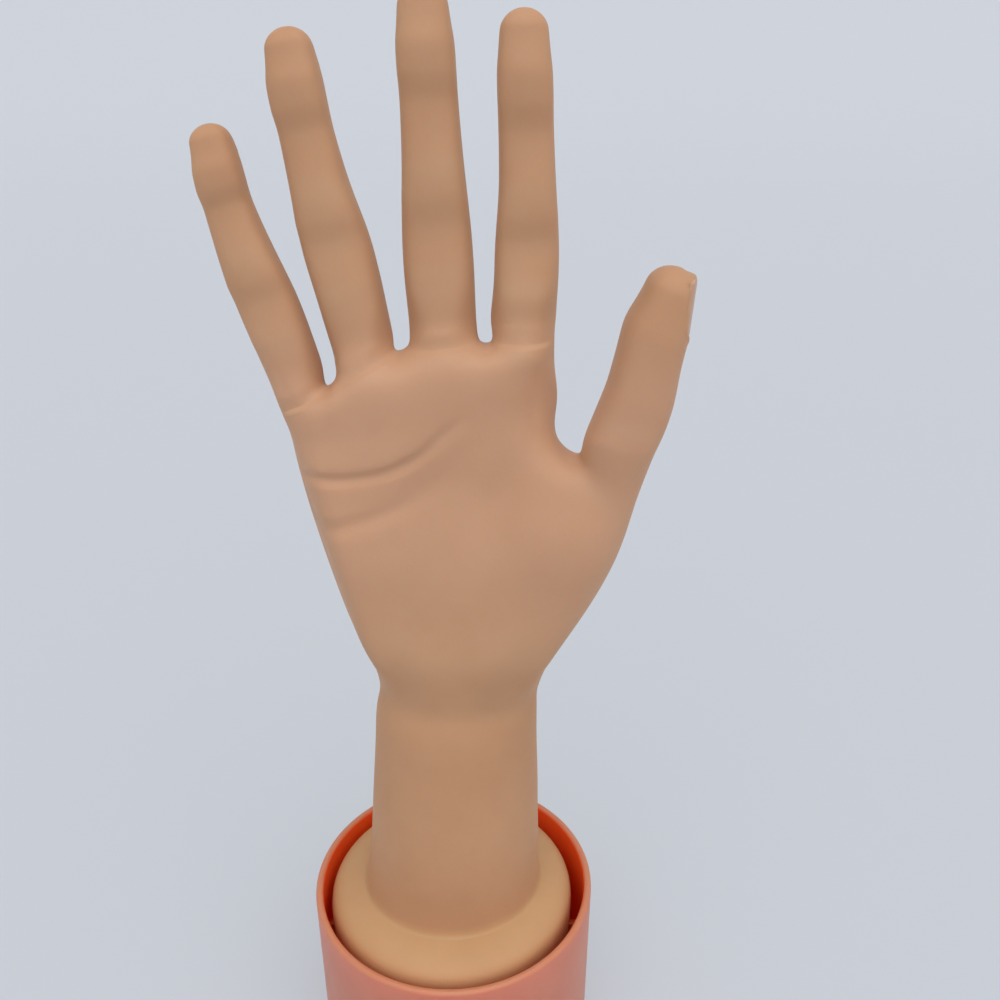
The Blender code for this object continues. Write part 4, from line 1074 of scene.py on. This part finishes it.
class Nodes:
    """A short way to write a node tree."""

    def __init__(self, name):
        self.material = bpy.data.materials.new(name)
        self.material.use_nodes = True
        self.tree = self.material.node_tree
        self.shader = self.tree.nodes["Principled BSDF"]

    def add(self, kind, settings=(), **inputs):
        node = self.tree.nodes.new(kind)
        for key, value in dict(settings).items():
            setattr(node, key, value)
        for key, value in inputs.items():
            self.link(value, node.inputs[key.replace("_", " ")])
        return node

    def link(self, value, socket):
        if isinstance(value, bpy.types.NodeSocket):
            self.tree.links.new(value, socket)
        else:
            socket.default_value = value

    def set(self, **inputs):
        for key, value in inputs.items():
            self.link(value, self.shader.inputs[key.replace("_", " ")])

    def mix(self, factor, a, b):
        node = self.tree.nodes.new("ShaderNodeMix")
        node.data_type = "RGBA"
        self.link(factor, node.inputs[0])
        self.link(a, node.inputs[6])
        self.link(b, node.inputs[7])
        return node.outputs[2]

    def noise(self, where, scale, detail=2.0):
        node = self.add("ShaderNodeTexNoise", Vector=where, Scale=scale, Detail=detail)
        return node.outputs["Fac"]

    def spread(self, value, low, high, to_low=0.0, to_high=1.0):
        node = self.add("ShaderNodeMapRange", Value=value)
        for socket, number in zip(node.inputs[1:5], (low, high, to_low, to_high)):
            socket.default_value = number
        return node.outputs[0]

    def bump(self, height, strength, distance):
        node = self.add("ShaderNodeBump", Height=height, Strength=strength, Distance=distance)
        return node.outputs["Normal"]


@cache
def skin_material():
    n = Nodes("skin")
    where = n.add("ShaderNodeAttribute", {"attribute_name": "rest"}).outputs["Vector"]
    soft = n.add("ShaderNodeAttribute", {"attribute_name": "soft"}).outputs["Fac"]
    patches = n.spread(n.noise(where, 34.0, 3.0), 0.35, 0.65)
    grain = n.noise(where, 900.0, 2.0)
    height = n.add("ShaderNodeSeparateXYZ", Vector=where).outputs["Z"]
    # Painted light: the palm's colour is its own pinker tone, and also lighter than the fingers to stand
    # in for the light falling on the palm
    palm = n.mix(patches, colour(194, 149, 117), colour(199, 154, 122))
    warm = n.mix(patches, colour(185, 139, 103), colour(191, 146, 110))
    foot = n.mix(patches, colour(192, 149, 106), colour(198, 155, 112))
    fingers = n.mix(patches, colour(188, 142, 107), colour(194, 150, 115))
    base = n.mix(n.spread(height, 0.240, 0.262), palm, fingers)
    base = n.mix(n.spread(height, 0.195, 0.155), base, warm)
    base = n.mix(n.spread(height, 0.069, 0.066), base, foot)
    n.set(Base_Color=base, Roughness=n.spread(grain, 0.3, 0.7, 0.5, 0.58))
    n.set(Subsurface_Weight=n.spread(soft, 0.0, 1.0, 0.0, 0.35), Subsurface_Radius=(1.0, 0.42, 0.2))
    n.set(Subsurface_Scale=0.004, Specular_IOR_Level=0.3)
    n.set(Sheen_Weight=0.12, Sheen_Roughness=0.4, Sheen_Tint=(1.0, 0.5, 0.2, 1.0))
    n.set(Normal=n.bump(grain, 0.12, 0.0004))
    return n.material


@cache
def nail_material():
    n = Nodes("nail")
    where = n.add("ShaderNodeTexCoord").outputs["Object"]
    base = n.mix(n.noise(where, 160.0), colour(192, 146, 112), colour(198, 154, 122))
    n.set(Base_Color=base, Roughness=0.3)
    return n.material


@cache
def cup_material():
    n = Nodes("cup")
    where = n.add("ShaderNodeTexCoord").outputs["Object"]
    place = n.add("ShaderNodeSeparateXYZ", Vector=where).outputs
    far = n.add("ShaderNodeVectorMath", {"operation": "LENGTH"})
    flat = n.add("ShaderNodeCombineXYZ", X=place["X"], Y=place["Y"])
    n.link(flat.outputs[0], far.inputs[0])
    # Painted glow: the inner wall gets a saturated orange-red that stands in for light bouncing inside
    # the cup
    inside = n.spread(far.outputs["Value"], 0.0434, 0.0429)
    # Painted highlight: the top of the lip gets a paler tone where light catches the rim
    lip = n.spread(place["Z"], 0.0636, 0.0646)
    patches = n.spread(n.noise(where, 40.0, 3.0), 0.35, 0.65)
    outside = n.mix(patches, colour(196, 118, 94), colour(202, 126, 102))
    outside = n.mix(lip, outside, colour(195, 130, 97))
    n.set(Base_Color=n.mix(inside, outside, colour(240, 92, 30)), Roughness=0.42)
    n.set(Subsurface_Weight=0.6, Subsurface_Radius=(1.0, 0.24, 0.08), Subsurface_Scale=0.008)
    return n.material


def plain_material(name, srgb, rough, metal=0.0):
    n = Nodes(name)
    where = n.add("ShaderNodeTexCoord").outputs["Object"]
    darker = tuple(0.9 * v for v in srgb)
    n.set(Base_Color=n.mix(n.noise(where, 220.0, 4.0), colour(*darker), colour(*srgb)))
    uneven = n.spread(n.noise(where, 500.0), 0.3, 0.7, rough - 0.06, rough + 0.06)
    n.set(Roughness=uneven, Metallic=metal)
    return n.material


def dress_nodes():
    """Finishes for the pieces that stay as they are."""
    finishes = {
        "frame": plain_material("frame", (226, 222, 210), 0.5),
        "pin": plain_material("pin", (190, 190, 194), 0.32, 1.0),
        "plug": plain_material("plug", (70, 70, 76), 0.5),
        "nail": nail_material(),
        "cup": cup_material(),
        "skin": skin_material(),
    }
    for row in frame["record"]["subparts"]:
        mesh = frame["nodes"][row["node"]].data
        mesh.materials.clear()
        mesh.materials.append(finishes[row["material_slot"]])


# Stage

def direct_rays(tree):
    """1 for rays that see the backdrop as it is: from the camera, off gloss or through glass."""
    path = tree.nodes.new("ShaderNodeLightPath").outputs
    value = path["Is Camera Ray"]
    for kind in ("Is Glossy Ray", "Is Transmission Ray"):
        most = tree.nodes.new("ShaderNodeMath")
        most.operation = "MAXIMUM"
        tree.links.new(value, most.inputs[0])
        tree.links.new(path[kind], most.inputs[1])
        value = most.outputs[0]
    return value


def build_stage():
    bm = bmesh.new()
    width, near, bend, radius, top = 6.0, -3.0, 2.2, 1.2, 4.0
    profile = [(near, 0.0), (bend, 0.0)]
    steps = 24
    for i in range(1, steps + 1):
        angle = math.pi / 2 * i / steps
        profile.append((bend + radius * math.sin(angle), radius * (1 - math.cos(angle))))
    profile.append((bend + radius, top))
    rows = [[bm.verts.new((x, y, z)) for x in (-width, width)] for y, z in profile]
    for low, high in zip(rows, rows[1:]):
        bm.faces.new((low[0], low[1], high[1], high[0]))
    n = Nodes("floor")
    seen = direct_rays(n.tree)
    pale = colour(198, 202, 209)
    shaded = tuple(0.5 * v for v in pale[:3]) + (1.0,)
    n.set(Base_Color=n.mix(seen, pale, shaded), Roughness=0.7)
    n.set(Emission_Color=pale, Emission_Strength=n.spread(seen, 0.0, 1.0, 0.0, 0.5))
    floor = finished(bm, "floor", n.material, NO_CREASE)


def build_light():
    data = bpy.data.lights.new("key", "SUN")
    data.energy = 1.65
    data.angle = math.radians(70.0)
    key = linked("key", data)
    way = Vector((-0.12, 0.62, -1.0))
    key.rotation_euler = way.to_track_quat("-Z", "Y").to_euler()
    world = bpy.data.worlds.new("studio")
    bpy.context.scene.world = world
    world.use_nodes = True
    tree = world.node_tree
    back = tree.nodes["Background"]
    back.inputs["Color"].default_value = (0.97, 0.98, 1.0, 1.0)
    back.inputs["Strength"].default_value = 0.62
    seen = tree.nodes.new("ShaderNodeBackground")
    seen.inputs["Color"].default_value = colour(200, 204, 211)
    mix = tree.nodes.new("ShaderNodeMixShader")
    for socket, value in zip(mix.inputs, (direct_rays(tree), back.outputs[0], seen.outputs[0])):
        tree.links.new(value, socket)
    tree.links.new(mix.outputs[0], tree.nodes["World Output"].inputs["Surface"])


def build_camera():
    data = bpy.data.cameras.new("camera")
    data.sensor_width = CAMERA_SENSOR
    data.lens = CAMERA_LENS
    data.clip_start = 0.01
    obj = linked("camera", data)
    obj.location = Vector(CAMERA_PLACE) * MM
    obj.rotation_euler = (math.radians(90.0 - CAMERA_DOWN), 0.0, 0.0)
    bpy.context.scene.camera = obj
    bpy.context.scene.view_settings.view_transform = "Standard"


dress_nodes()
dress_skin()
dress_nails()
dress_cup()
build_stage()
build_light()
build_camera()
